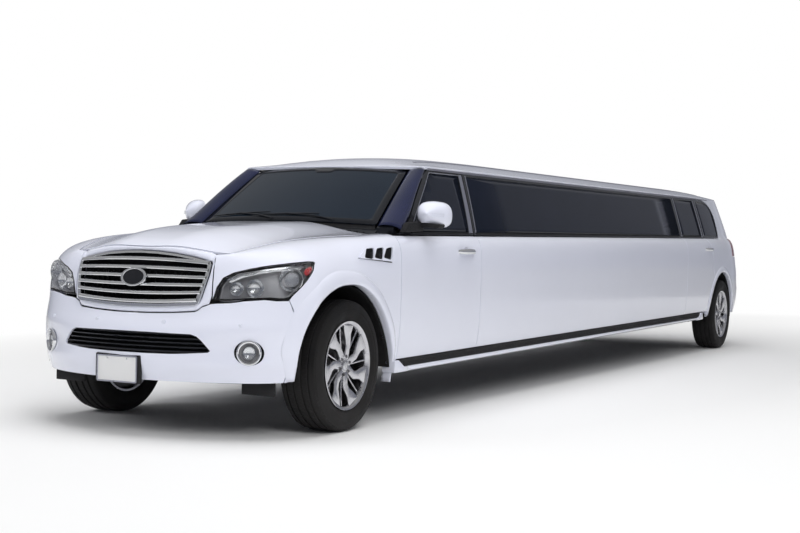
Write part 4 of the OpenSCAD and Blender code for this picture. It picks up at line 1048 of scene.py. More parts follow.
oval_rim = panel(oval(0, OVAL_H, .095, .0565, 48), face_point(.034), [], [], (0, -1, 0),
                 [oval(0, OVAL_H, .076, .0452, 48)])
piece("grille_oval_rim", oval_rim, chrome, wall=.016, bevel=.004, seg=3)
oval_plate = panel(oval(0, OVAL_H, .078, .047, 48), face_point(.026), [-.05, -.025, 0, .025, .05],
                   [.93, OVAL_H, .98], (0, -1, 0))
piece("grille_oval_plate", oval_plate, trim_black, wall=.006, bevel=.002)


# the white band between hood, grille and headlights
def along(points, i):
    j = min(int(i), len(points) - 2)
    return mix(points[j][0], points[j + 1][0], i - j), mix(points[j][1], points[j + 1][1], i - j)


FLOOR_EDGE = [(.500, .812), (.462, .799), (.446, .781), (.425, .770), (.30, .761), (.20, .757), (.10, .754), (0, .754)]


def band_point(u, v):
    """u goes from the middle of the hood's edge down to the middle of the bumper, v inward."""
    t = u * 3
    if t <= 1:
        outer = hood_point(-.712, t * .85) + Vector((0, -.007, -.007))
        inner = grille_point(*along(SURROUND, t * 3.85), -.008)
    elif t <= 2:
        outer = fender_point(.342, mix(1.985, .985, t - 1)) + Vector((-.003, 0, 0))
        inner = grille_point(*along(SURROUND, 3.85 + (t - 1) * 4.15), -.008)
    else:
        x, z = along(FLOOR_EDGE, (t - 2) * 7)
        outer = nose_point(nose_u_at_x(x, z), z) + Vector((0, .004, 0))
        inner = grille_point(*along(SURROUND, 8 + (t - 2) * 6), -.004)
    p = outer.lerp(inner, v)
    swell = (.010 if t <= 1 else .005 if t <= 2 else .004) * v * (1 - v) * 4
    return p + Vector((0, -swell, .6 * swell if t <= 1 else 0))


band = patch(66, 6, band_point, (0, -1, .6))
piece("nose_band", whole_from_half(band), white_paint, wall=.010)

# lower intake: dark box with slats
slats = []
for i in range(5):
    h = mix(.527, .628, i / 4)
    w = nose_u_at_x(mix(.545, .455, ease(.53, .64, h)) + .02, h)

    def slat(u, v, h=h, w=w):
        p = across(nose_point, mix(-w, w, u), h)
        a = math.tau * v
        return Vector((p.x, p.y + .028 + .016 * math.cos(a), p.z + .0065 * math.sin(a) - .004 * math.cos(a)))
    slats.append(patch(40, 10, slat, (0, -1, 0)))
slat_set = joined(*slats)
bmesh.ops.remove_doubles(slat_set, verts=slat_set.verts, dist=.0004)
bmesh.ops.recalc_face_normals(slat_set, faces=slat_set.faces)
piece("intake_slats", slat_set, trim_black)
intake_back = patch(30, 6, lambda u, v: across(nose_point, mix(-.40, .40, u), mix(.49, .66, v)) + Vector((0, .075, 0)),
                    (0, -1, 0))
piece("intake_back", intake_back, deep_black, wall=.004)
undertray = block(-.58, .58, AXLE_Y - .74, AXLE_Y - .46, .340, .356, .006)


# black valance under the bumper and the flap in front of each wheel
def valance(u, v):
    x = mix(-.66, .66, u)
    n = nose_point(nose_u_at_x(abs(x), .352), .352)
    return Vector((x, n.y + .070 + .05 * (1 - v), mix(.330, .378, v)))


piece("under_valance", patch(40, 5, valance, (0, -1, 0)), grained_black, wall=.006, bevel=.002)
piece("undertray", undertray, grained_black)
pair("wheel_flap", block(.600, .835, AXLE_Y - .618, AXLE_Y - .604, .262, .352, .004), grained_black)

# fog lamps: chrome ring, black cup, clear lens with a bowl behind
fog_at = nose_point(nose_u_at_x(FOG_X, FOG_H), FOG_H)
slope = Vector((.62, -1, 0)).normalized()


def on_nose(profile):
    """A turned part set square to the bumper at the fog lamp."""
    bm = turned(profile, "y", (0, 0, 0), 40)
    turn = Vector((0, -1, 0)).rotation_difference(slope).to_matrix().to_4x4()
    return moved(bm, Matrix.Translation(fog_at) @ turn)


pair("fog_ring", on_nose([(.030, .073), (.000, .0745), (-.005, .072), (-.007, .067), (-.003, .060), (.010, .056),
                          (.030, .054)]), chrome)
pair("fog_cup", on_nose([(.008, .0565), (.026, .051), (.034, .036), (.034, .0)]), lamp_grey)
pair("fog_bowl", on_nose([(.010, .039), (.014, .041), (.026, .034), (.033, .016), (.034, .0)]), lamp_bowl)
fog_lens = on_nose([(.006, .0), (.0065, .025), (.010, .049), (.014, .0555), (.018, .0555), (.013, .048), (.010, .025),
                    (.0095, .0)])
piece("fog_lens", both_sides(fog_lens), lens_clear, "body", ["fog_lights"])

# parking sensors
dots = [nose_point(nose_u_at_x(x, h), h) for x, h in ((.25, .700), (.700, .690))]
sensors = joined(*[moved(turned([(-.004, 0), (-.004, .010), (-.002, .0125), (.006, .0125)], "y", (0, 0, 0), 20),
                         Matrix.Translation(p + Vector((0, -.002, 0)))) for p in dots])
piece("parking_sensors", both_sides(sensors), white_paint)

# front plate on its bracket, blank
piece("plate_bracket", block(-.225, .112, AXLE_Y - .967, AXLE_Y - .945, .318, .490, .006), grained_black)
plate = block(-.205, .090, AXLE_Y - .974, AXLE_Y - .968, .325, .480)
piece("front_plate", plate, plate_white, "body", ["number_plates"])
rim_loop = rounded([(-.208, .322), (.093, .322), (.093, .483), (-.208, .483)], .012)
inner_loop = rounded([(-.200, .330), (.085, .330), (.085, .475), (-.200, .475)], .008)
frame_bm = panel(rim_loop, lambda x, z: Vector((x, AXLE_Y - .977, z)), [], [], (0, -1, 0), [inner_loop])
piece("plate_frame", frame_bm, satin_strip, wall=.008, bevel=.0015)
bolts = joined(*[turned([(-.9775, 0), (-.9775, .005), (-.975, .007), (-.972, .007)], "y", (x, AXLE_Y, .463), 12)
                 for x in (-.13, .015)])
piece("plate_bolts", bolts, chrome)

# headlights
def lamp_sheet(out, loop, holes=()):
    """A sheet that follows the fender, moved outward along its normal."""
    def place(u, v):
        p = fender_point(u, v)
        du = fender_point(u + .002, v) - p
        dv = fender_point(u, v + .002) - p
        n = du.cross(dv).normalized()
        if n.dot(Vector((1, -1, .4))) < 0:
            n = -n
        return p + n * out
    return panel(loop, place, [u for u in U_CUTS if u < 1.05], V_CUTS, (1, -1, .3), holes)


piece("headlight_lens", both_sides(lamp_sheet(.001, LAMP)), lens_clear, "body", ["headlights"], wall=.003)
outline_strip = lamp_sheet(-.0015, swollen(LAMP, .009), [swollen(LAMP, -.004)])
pair("headlight_seal", outline_strip, seal_rubber, wall=.004)
tub = lamp_sheet(-.072, swollen(LAMP, -.002))
edge = [e for e in tub.edges if e.is_boundary]
out = bmesh.ops.extrude_edge_only(tub, edges=edge)["geom"]
for v in [g for g in out if isinstance(g, bmesh.types.BMVert)]:
    v.co += Vector((.62, -.72, .10)) * .064
pair("headlight_tub", tub, lamp_grey, wall=.003)
MAIN_BOWL = (.745, 1.22)


def lamp_turned(u, v, out, profile):
    """A round part in the headlight, out from the fender's surface at (u, v) and facing forward."""
    p = fender_point(u, v)
    aim = Vector((.35, -1, .02)).normalized()
    turn = Vector((0, -1, 0)).rotation_difference(aim).to_matrix().to_4x4()
    return moved(turned(profile, "y", (0, 0, 0), 36), Matrix.Translation(p + aim * out) @ turn)


bowl = joined(lamp_turned(*MAIN_BOWL, -.045, [(-.020, .070), (-.016, .073), (.0, .066), (.02, .050), (.03, .046)]),
              lamp_turned(.535, 1.15, -.045, [(-.016, .052), (-.012, .055), (.008, .040), (.022, .020), (.026, 0)]),
              lamp_turned(.445, 1.15, -.045, [(-.012, .040), (-.008, .043), (.010, .030), (.020, .014), (.024, 0)]))
pair("headlight_bowls", bowl, lamp_bowl)
eye = lamp_turned(*MAIN_BOWL, -.038, [(-.030, 0), (-.028, .014), (-.022, .028), (-.010, .040), (.010, .044),
                                      (.03, .044)])
pair("headlight_projector", eye, lens_clear)
pair("headlight_projector_back", lamp_turned(*MAIN_BOWL, -.055, [(.0, 0), (.0, .043), (.01, .045)]), lamp_bowl)
upper = [(.40, 1.30), (.47, 1.385), (.56, 1.425), (.66, 1.436), (.79, 1.425), (.90, 1.395), (.86, 1.34), (.78, 1.35),
         (.66, 1.375), (.56, 1.36), (.48, 1.32), (.42, 1.24)]
pair("headlight_upper", lamp_sheet(-.014, rounded(upper, .02, 2)), lamp_bowl, wall=.003)
mark = [(.900, 1.345), (.965, 1.360), (.975, 1.320), (.925, 1.265), (.885, 1.24), (.872, 1.29)]
pair("headlight_reflector", lamp_sheet(-.010, rounded(mark, .015, 2)), reflector_red, wall=.004)

# side vent: bright frame with three slanted slots over a dark line
def on_side(out):
    """The body side moved outward."""
    return lambda s, h: body_at(body_x(s, h) + out, s, h)


vent_outer = rounded([(.112, 1.090), (.212, 1.158), (.578, 1.174), (.520, 1.062)], .022)
slots = [rounded([(s0 - .046, 1.090), (s0 + .008, 1.150), (s0 + .098, 1.155 + .003 * k),
                  (s0 + .062, 1.080 - .004 * k)], .018) for k, s0 in enumerate((.212, .328, .444))]
VS, VH = [.15, .2, .25, .3, .35, .4, .45, .5, .55], [1.08, 1.10, 1.12, 1.14]
pair("vent_frame", panel(vent_outer, on_side(.012), VS, VH, UP, slots), white_paint, wall=.012, bevel=.0035)
slot_fill = joined(*[panel(s, on_side(.0015), VS, VH, UP) for s in slots])
pair("vent_slots", slot_fill, deep_black, wall=.002)
vent_line = [(.104, 1.088), (.112, 1.090), (.520, 1.062), (.524, 1.055)]
pair("vent_shadow_line", panel(vent_line, on_side(.003), VS, [], UP), seal_rubber, wall=.003)

# door handles and the cups behind them
def handle(s0, s1, h):
    sm = (s0 + s1) / 2
    x = body_x(sm, h)
    y = AXLE_Y
    z = h + lift(sm)
    pts = [(x - .004, y + s0, z), (x + .018, y + s0 + .012, z), (x + .030, y + s0 + .045, z), (x + .033, y + sm, z),
           (x + .030, y + s1 - .045, z), (x + .018, y + s1 - .012, z), (x - .004, y + s1, z)]
    bar_ = rod(pts, [.010, .013, .0145, .015, .0145, .013, .010], 14)
    bmesh.ops.scale(bar_, vec=(1, 1, 1.35), verts=bar_.verts, space=Matrix.Translation((0, 0, -z)))
    cup = patch(16, 12, lambda u, v: Vector((x + .002 - .020 * max(0, 1 - ((u - .5) ** 2 + (v - .5) ** 2) * 4), y + mix(
        sm - .055, sm + .055, u), z + mix(-.034, .034, v))), UP)
    bmesh.ops.delete(cup, geom=[f for f in cup.faces if ((f.calc_center_median().y - y - sm) / .055) ** 2 + (
        (f.calc_center_median().z - z) / .034) ** 2 > 1], context="FACES")
    return bar_, cup


for name, s0, s1, h in (("front_door", 1.580, 1.820, 1.124), ("rear_door", 8.360, 8.580, 1.130)):
    bar_, cup = handle(s0, s1, h)
    pair(name + "_handle", bar_, chrome, name + "_@")
    pair(name + "_handle_cup", cup, white_paint, name + "_@", wall=.001)


# door mirrors
def mirror_shell(u, v):
    """Closed rounded housing; u goes round and v from the front of the cap to its rim."""
    a = math.tau * u
    ca, sa = math.cos(a), math.sin(a)
    r = mix(.02, 1, ease(0, 1, min(1, v * 1.02)) ** .55)
    k = (abs(ca) ** 3.0 + abs(sa) ** 3.0) ** (-1 / 3.0)
    x = MIRROR_X + .095 * ca * k * r * (1 if ca > 0 else 1.05)
    z = MIRROR_H + .090 * sa * k * r - .012 * (1 if ca > 0 else 0) * ca * r
    s = 1.158 - .155 * (1 - v) ** .62 - .02 * (ca * r + 1) * .5 * (1 - v)
    return Vector((x, AXLE_Y + s + .055 * (ca * r), z))


shell = patch(40, 16, mirror_shell, (0, -1, 0))
bmesh.ops.remove_doubles(shell, verts=shell.verts, dist=.0008)
pair("mirror_cap", shell, white_paint, "front_door_@", ["mirror_@"], wall=.004, bevel=.0012)
glass_loop = []
for x, z in oval(0, 0, 1, 1):
    k = (abs(x) ** 3 + abs(z) ** 3) ** (-1 / 3)
    glass_loop.append((MIRROR_X + .088 * x * k, MIRROR_H + .083 * z * k))
pair("mirror_glass", panel(glass_loop, lambda x, z: Vector((x, AXLE_Y + 1.148 + .055 * (x - MIRROR_X) / .095, z)),
                           [], [], (0, 1, 0)), chrome, "front_door_@", wall=.003)
foot = extruded([(AXLE_Y + .795, 1.262), (AXLE_Y + 1.08, 1.275), (AXLE_Y + 1.09, 1.330), (
    AXLE_Y + 1.02, 1.345), (AXLE_Y + .86, 1.330)], "x", .905, .955, .010, 3)
under = extruded([(.925, 1.300), (1.085, 1.296), (1.095, 1.325), (.925, 1.340)], "y", AXLE_Y + 1.035,
                 AXLE_Y + 1.140, .012, 3)
pair("mirror_foot", joined(foot, under), grained_black, "front_door_@")
sail = [(.846, 1.272), (.948, 1.272), (1.035, 1.350), (1.0, 1.368)]
pair("mirror_sail", panel(rounded(sail, .012), sunk(side_point, -.003), [.9, .95, 1.0], [1.30, 1.33], UP),
     grained_black, "front_door_@", wall=.006, bevel=.0015)
blink = patch(12, 5, lambda u, v: Vector((mix(1.005, 1.098, u), AXLE_Y + 1.025 + .075 * u ** 2 - .016 *
                                          math.sin(math.pi * u) + .002, mix(1.372, 1.398, v) + .004 * u)), (0, -1, 0))
pair("mirror_lamp", blink, lens_clear, "front_door_@", wall=.004, bevel=.001)

# windshield with its dark border, bulged pillars, cowl and wipers
SHIELD_Q = steps(-1, 1, 26)
SHIELD_V = steps(0, 1, 12)


def raised_shield(out):
    def place(q, v):
        p = shield_point(q, v)
        n = Vector((q * .25, -.55, .83)).normalized()
        return p + n * out
    return place


shield_loop = rounded([(-.985, .012), (.985, .012), (.985, .985), (-.985, .985)], .03)
piece("windshield_glass", panel(shield_loop, raised_shield(0), SHIELD_Q, SHIELD_V, (0, -.5, 1)), shield_glass, "body",
      ["windshield"], wall=.006)
frit_inner = rounded([(-.915, .085), (.915, .085), (.905, .925), (.13, .925), (.10, .88), (-.10, .88), (-.13, .925),
                      (-.905, .925)], .03)
piece("windshield_border", panel(shield_loop, raised_shield(.0008), SHIELD_Q, SHIELD_V, (0, -.5, 1), [frit_inner]),
      trim_black, wall=.0015)
pillar_outer = smooth_curve([(0, .838), (.25, 1.015), (.5, 1.195), (.75, 1.352), (1, 1.446)])
pillar_height = smooth_curve([(0, 1.262), (.25, 1.390), (.5, 1.534), (.75, 1.650), (1, 1.713)])


def pillar(u, v):
    """u runs from the glass to the door and v up the pillar."""
    a = shield_point(1, mix(-.005, 1.0, v)) + Vector((.003, 0, .002))
    s, h = pillar_outer(v) - .004, pillar_height(v) + .002
    b = body_at(side_x(s, h) - .001, s, h)
    p = a.lerp(b, u)
    n = Vector((.62, -.55, .55)).normalized()
    return p + n * (.036 * (4 * u * (1 - u)) ** .8 * mix(1.15, .8, v)) + Vector((0, -.01 * u * (1 - v), 0))


pair("windshield_pillar", patch(14, 24, pillar, (.6, -.5, .5)), pillar_black, wall=.006)


def cowl(u, v):
    """u runs across the car and v from the hood to the glass."""
    q = mix(-1, 1, u)
    a = hood_point(.720, q * .985) + Vector((0, .010, -.010))
    b = shield_point(q * .97, .02) + Vector((0, .004, -.008))
    p = a.lerp(b, v)
    return p + Vector((0, 0, -.022 * math.sin(math.pi * v)))


piece("cowl_screen", patch(44, 8, cowl, (0, -.3, 1)), grained_black, wall=.004)
louvres = []
for i in range(-13, 14):
    q0 = i / 14.5
    p = cowl((q0 + 1) / 2, .5)
    louvres.append(block(p.x - .014, p.x + .014, p.y - .014, p.y + .012, p.z, p.z + .006, .0015, 1))
piece("cowl_louvres", joined(*louvres), deep_black)
for name, q0, q1, v1 in (("left", .56, .02, .105), ("right", -.10, -.54, .118)):
    root = raised_shield(.006)(q0, .034)
    tip = raised_shield(.012)(q1, v1)
    mid = raised_shield(.010)(mix(q0, q1, .45), .088)
    arm = rod([root, raised_shield(.009)(mix(q0, q1, .2), .060), mid, tip], [.006, .006, .006, .005], 10)
    hub = turned([(-.010, 0), (-.010, .012), (.004, .010), (.006, 0)], "z", (0, 0, 0), 16)
    moved(hub, Matrix.Translation(root))
    blade = rod([raised_shield(.008)(mix(q1 - .36, q1 + .36, t), mix(v1 - .018, v1 + .022, t))
                 for t in (0, .25, .5, .75, 1)], [.003, .005, .006, .005, .003], 8)
    piece("wiper_" + name, joined(arm, hub, blade), trim_black)

# bright edges and rubber along the side glass
door_strip = panel([(1.914, 1.264), (1.976, 1.264), (2.050, 1.702), (1.999, 1.702)], on_side(.002),
                   steps(1.9, 2.06, 3), HIGH_CUTS, UP)
pair("front_door_post_trim", door_strip, satin_strip, "front_door_@", wall=.003, bevel=.0008)
bead = [(.936, 1.266), (1.166, 1.451), (1.348, 1.588), (1.487, 1.699), (1.990, 1.699), (1.988, 1.693), (1.4885, 1.693),
        (1.350, 1.582), (1.170, 1.446), (.946, 1.266)]
pair("front_glass_bead", panel(bead, on_side(.0025), steps(.94, 2.0, 10), HIGH_CUTS, UP), satin_strip, "front_door_@",
     wall=.003)
body_strips = joined(
    panel([(2.030, 1.268), (2.042, 1.268), (2.126, 1.700), (2.112, 1.700)], on_side(.0025), [], HIGH_CUTS, UP),
    panel([(8.546, 1.290), (8.554, 1.290), (8.584, 1.694), (8.576, 1.694)], on_side(.0025), [], HIGH_CUTS, UP))
pair("side_post_trim", body_strips, satin_strip, wall=.003)
rear_strips = joined(
    panel([(7.618, 1.272), (7.634, 1.272), (7.698, 1.700), (7.682, 1.700)], on_side(.0025), [], HIGH_CUTS, UP),
    panel([(8.452, 1.272), (8.474, 1.272), (8.500, 1.700), (8.480, 1.700)], on_side(.0025), [], HIGH_CUTS, UP))
pair("rear_door_post_trim", rear_strips, satin_strip, "rear_door_@", wall=.003)
drip = panel([(1.47, 1.7125), (1.50, ROOF_EDGE), (9.30, ROOF_EDGE), (9.30, 1.7185), (8.60, 1.7185), (8.55, 1.7125)],
             on_side(.002), steps(1.5, 9.3, 26), [], UP)
pair("roof_drip_strip", drip, drip_grey, wall=.006, bevel=.001)
for s0, s1, body in ((.955, 1.900, "front_door_@"), (7.665, 8.430, "rear_door_@"), (2.05, 7.55, "body")):
    loop = [(s, edge_h(s) + d) for s, d in ((s0, .012), (s1, .012), (s1, .024), (s0, .024))]
    pair("waist_seal_%d" % round(s0 * 10), panel(loop, on_side(.0035), steps(s0, s1, 12), [], UP), seal_rubber, body,
         wall=.003, bevel=.0008)
for x in (-.52, .52):
    rail = patch(60, 3, lambda u, v, x=x: roof_point(mix(1.75, 9.6, u), (x + mix(-.006, .006, v)) / roof_half(
        mix(1.75, 9.6, u))) + Vector((0, 0, .0030)), (0, 0, 1))
    piece("roof_joint_strip_%s" % ("left" if x > 0 else "right"), rail, drip_grey, wall=.005)
fin = extruded([(AXLE_Y + 8.90, 1.895), (AXLE_Y + 9.06, 1.895), (AXLE_Y + 9.055, 1.917), (
    AXLE_Y + 9.03, 1.9185), (AXLE_Y + 8.96, 1.914)], "x", -.016, .016, .004, 3)
piece("roof_aerial", fin, white_paint)

# inside of the doors: pressed inner shell, trim panel, armrest, pull cup and loudspeaker
def door_inside(name, outline, s0, s1, foot):
    body = name + "_@"
    cuts = steps(s0, s1, 8)
    shell = panel(shrunk(outline, .012), sunk(side_point, .0225), cuts, LOW_CUTS, UP)
    pair(name + "_inner_shell", shell, white_paint, body, wall=.038, bevel=.002)
    card = rounded([(s0 + .10, foot + .06), (s1 - .11, foot + .06), (s1 - .10, .85), (s1 - .06, 1.20),
                    (s0 + .09, 1.19)], .05)
    pair(name + "_trim_panel", panel(card, sunk(side_point, .0605), cuts, LOW_CUTS, UP), leather, body, wall=.010,
         bevel=.003)
    x = .925
    rest = extruded(rounded([(AXLE_Y + s0 + .30, .905), (AXLE_Y + s1 - .20, .925), (AXLE_Y + s1 - .18, .975),
                             (AXLE_Y + s0 + .32, .965)], .02), "x", x - .050, x + .012, .012, 3)
    cup = extruded(rounded([(AXLE_Y + s0 + .34, 1.03), (AXLE_Y + s0 + .50, 1.03), (AXLE_Y + s0 + .48, 1.09), (
        AXLE_Y + s0 + .36, 1.09)], .02), "x", x - .010, x + .004, .003, 2)
    pair(name + "_armrest", rest, grained_black, body)
    pair(name + "_pull_cup", cup, chrome, body)
    ring = moved(turned([(.006, .0), (.004, .060), (-.004, .078), (-.002, .086), (.010, .088)], "x", (0, 0, 0), 40),
                 Matrix.Translation((x, AXLE_Y + s0 + .27, foot + .20)))
    pair(name + "_loudspeaker", ring, grained_black, body, wall=.002)


door_inside("front_door", door_low, DOOR_FRONT, DOOR_REAR, .42)
door_inside("rear_door", rear_low, REAR_DOOR_FRONT, 8.58, .52)

# inside of the tailgate
gate_card = [(1, .76), seen(.60, .76), seen(.60, 1.30), (1, 1.32)]
gate_card = panel(gate_card, sunk_back(tail_point, .024), K_GATE, LOW_CUTS, (0, 1, 0))
piece("tailgate_trim_panel", whole_from_half(gate_card), grained_black, "tailgate", wall=.010, bevel=.003)

# under the hood: ribbed cover, intake pipe, air box, battery and the panel over the radiator
cover = [block(-.25, .25, AXLE_Y - .42, AXLE_Y + .30, 1.050, 1.100, .020, 3)]
cover += [block(x - .012, x + .012, AXLE_Y - .36, AXLE_Y + .24, 1.098, 1.110)
          for x in (-.18, -.12, -.06, .06, .12, .18)]
piece("engine_cover", joined(*cover), grained_black)
pipe = rod([(.20, AXLE_Y - .05, 1.045), (.33, AXLE_Y - .07, 1.050), (.43, AXLE_Y - .16, 1.030),
            (.47, AXLE_Y - .27, 1.000)], [.042, .042, .040, .040], 20)
air_box = joined(block(.36, .60, AXLE_Y - .46, AXLE_Y - .22, .80, 1.000, .020, 3),
                 block(.37, .59, AXLE_Y - .45, AXLE_Y - .23, .998, 1.020, .008, 2))
piece("intake_pipe", pipe, grained_black)
piece("air_box", air_box, grained_black)
battery = joined(block(-.60, -.36, AXLE_Y - .44, AXLE_Y - .26, .80, .985, .008, 2), *[
    turned([(.984, 0), (.984, .012), (1.000, .010), (1.002, 0)], "z", (x, AXLE_Y - .39, 0), 16) for x in (-.55, -.41)])
piece("battery", battery, deep_black)
piece("radiator_panel", block(-.50, .50, AXLE_Y - .700, AXLE_Y - .490, 1.015, 1.030, .006, 2), grained_black)
caps = [turned([(1.100, 0), (1.100, .030), (1.118, .028), (1.120, .010), (1.120, 0)], "z", (.10, AXLE_Y + .27, 0), 24),
        turned([(1.028, 0), (1.028, .026), (1.042, .024), (1.044, 0)], "z", (-.30, AXLE_Y - .60, 0), 24)]
piece("filler_caps", joined(*caps), satin_strip)

# running boards
def raked(bm):
    """Follows the body's rake."""
    for v in bm.verts:
        v.co.z += RAKE * (v.co.y - AXLE_Y)
    return bm


sill_white = raked(extruded([(.905, .320), (.984, .320), (.999, .329), (1.000, .346), (.992, .353), (.905, .353)], "y",
                            AXLE_Y + .70, AXLE_Y + 8.20, .003, 2))
ends = [[(.594, .330), (.604, .402), (.660, .402), (.745, .353), (.80, .353), (.80, .320), (.60, .320)],
        [(8.05, .320), (8.05, .353), (8.12, .353), (8.20, .402), (8.275, .402), (8.285, .320)]]
ends = [raked(extruded([(AXLE_Y + s, h) for s, h in end], "x", .905, 1.001, .008, 3)) for end in ends]
pair("running_board_sill", joined(sill_white, *ends), white_paint)
board = raked(extruded([(.905, .353), (.984, .353), (.9915, .360), (.9915, .390), (.984, .400), (.905, .400)], "y",
                       AXLE_Y + .672, AXLE_Y + 8.20, .002, 2))
ribs = [raked(block(x - .004, x + .004, AXLE_Y + .76, AXLE_Y + 8.10, .4000, .4035, .001, 1))
        for x in (.925, .940, .955, .970)]
ribs += [raked(block(.991, .9945, AXLE_Y + .74, AXLE_Y + 8.12, h - .003, h + .003, .001, 1))
         for h in (.366, .376, .386)]
piece("running_board_tread", both_sides(joined(board, *ribs)), board_rubber, "body", ["running_boards"])
steps_under = joined(*[raked(block(.80, .93, AXLE_Y + s - .03, AXLE_Y + s + .03, .345, .375, .004, 1)) for s in
                       (1.0, 2.0, 3.0, 4.0, 5.0, 6.0, 7.0, 8.0)])
pair("running_board_brackets", steps_under, chassis_black)

# arch flares at the rear, cut where the door ends
def rear_ring(a, t):
    """The same for the rear flare."""
    r = ARCH_R + (.066 * ease(-16, 22, a) * ease(198, 168, a) + .008) * (1 - t)
    c = math.cos(math.radians(a))
    return WHEELBASE + r * c * (1.13 if c < 0 else 1), HUB_Z + r * math.sin(math.radians(a))


FLARE_SPLIT_Y = AXLE_Y + 8.690
rear_flare = flare((-8, 186), rear_ring)
bmesh.ops.bisect_plane(rear_flare, geom=rear_flare.verts[:] + rear_flare.edges[:] + rear_flare.faces[:], dist=1e-6,
                       plane_co=(0, FLARE_SPLIT_Y, 0), plane_no=(0, -1, 0), clear_outer=False)
low = [f for f in rear_flare.faces if f.calc_center_median().y < FLARE_SPLIT_Y]
door_part = rear_flare.copy()
bmesh.ops.delete(rear_flare, geom=low, context="FACES")
keep = [f for f in door_part.faces if f.calc_center_median().y >= FLARE_SPLIT_Y]
bmesh.ops.delete(door_part, geom=keep, context="FACES")
pair("rear_arch_flare", rear_flare, white_paint, wall=.004)
bmesh.ops.delete(door_part, geom=[f for f in door_part.faces if f.calc_center_median().z < .43], context="FACES")
pair("rear_arch_flare_front", door_part, white_paint, wall=.004)


# moulded liners inside the wheel openings, with a pressed channel round the middle
def liner_point(u, v, at, ring):
    """u goes round the opening and v inward from the fender's edge."""
    a = mix(-5, 185, u)
    s, h = ring(a)
    x = mix(.962, .565, v)
    sunk_in = .010 * (ease(.30, .36, v) - ease(.64, .70, v))
    return Vector((x, AXLE_Y + at + s * (1 - sunk_in / .5), HUB_Z + (h - HUB_Z) * (1 - sunk_in / .5)))


def rear_liner_ring(a):
    return .5035 * math.cos(math.radians(a)), HUB_Z + .5035 * math.sin(math.radians(a))


front_liner = patch(56, 14, lambda u, v: liner_point(u, v, 0, lambda a: front_arch(a, -.014)), (0, 0, -1))
pair("front_arch_liner", front_liner, arch_black, "body", ["wheel_arch_liners"], wall=.003)
rear_liner = patch(56, 14, lambda u, v: liner_point(u, v, WHEELBASE, rear_liner_ring), (0, 0, -1))
pair("rear_arch_liner", rear_liner, arch_black, wall=.003)
clips = []
for a in (16, -2):
    s, h = front_arch(a, -.018)
    clips.append(moved(turned([(-.004, 0), (-.003, .007), (.002, .009), (.004, .009)], "x", (0, 0, 0), 14),
                       Matrix.Translation((.945, AXLE_Y + s, h))))
pair("liner_clips", joined(*clips), satin_strip)


# wheels; the outlines of a broad spoke and of the thin blade beside it are (radius, degrees)
SPOKES = 7
SPOKE = [(.046, -30), (.080, -21), (.118, -15), (.148, -12.5), (.172, -6.5), (.205, -1.5), (.262, -2.0), (.262, 24.0),
         (.225, 22.5), (.190, 18.5), (.160, 12.0), (.128, 8.5), (.096, 13), (.070, 20), (.046, 30)]
BLADE = [(.050, 26), (.11, 27.5), (.17, 29.5), (.262, 31.0), (.262, 33.6), (.17, 33.4), (.11, 33.0), (.050, 38)]


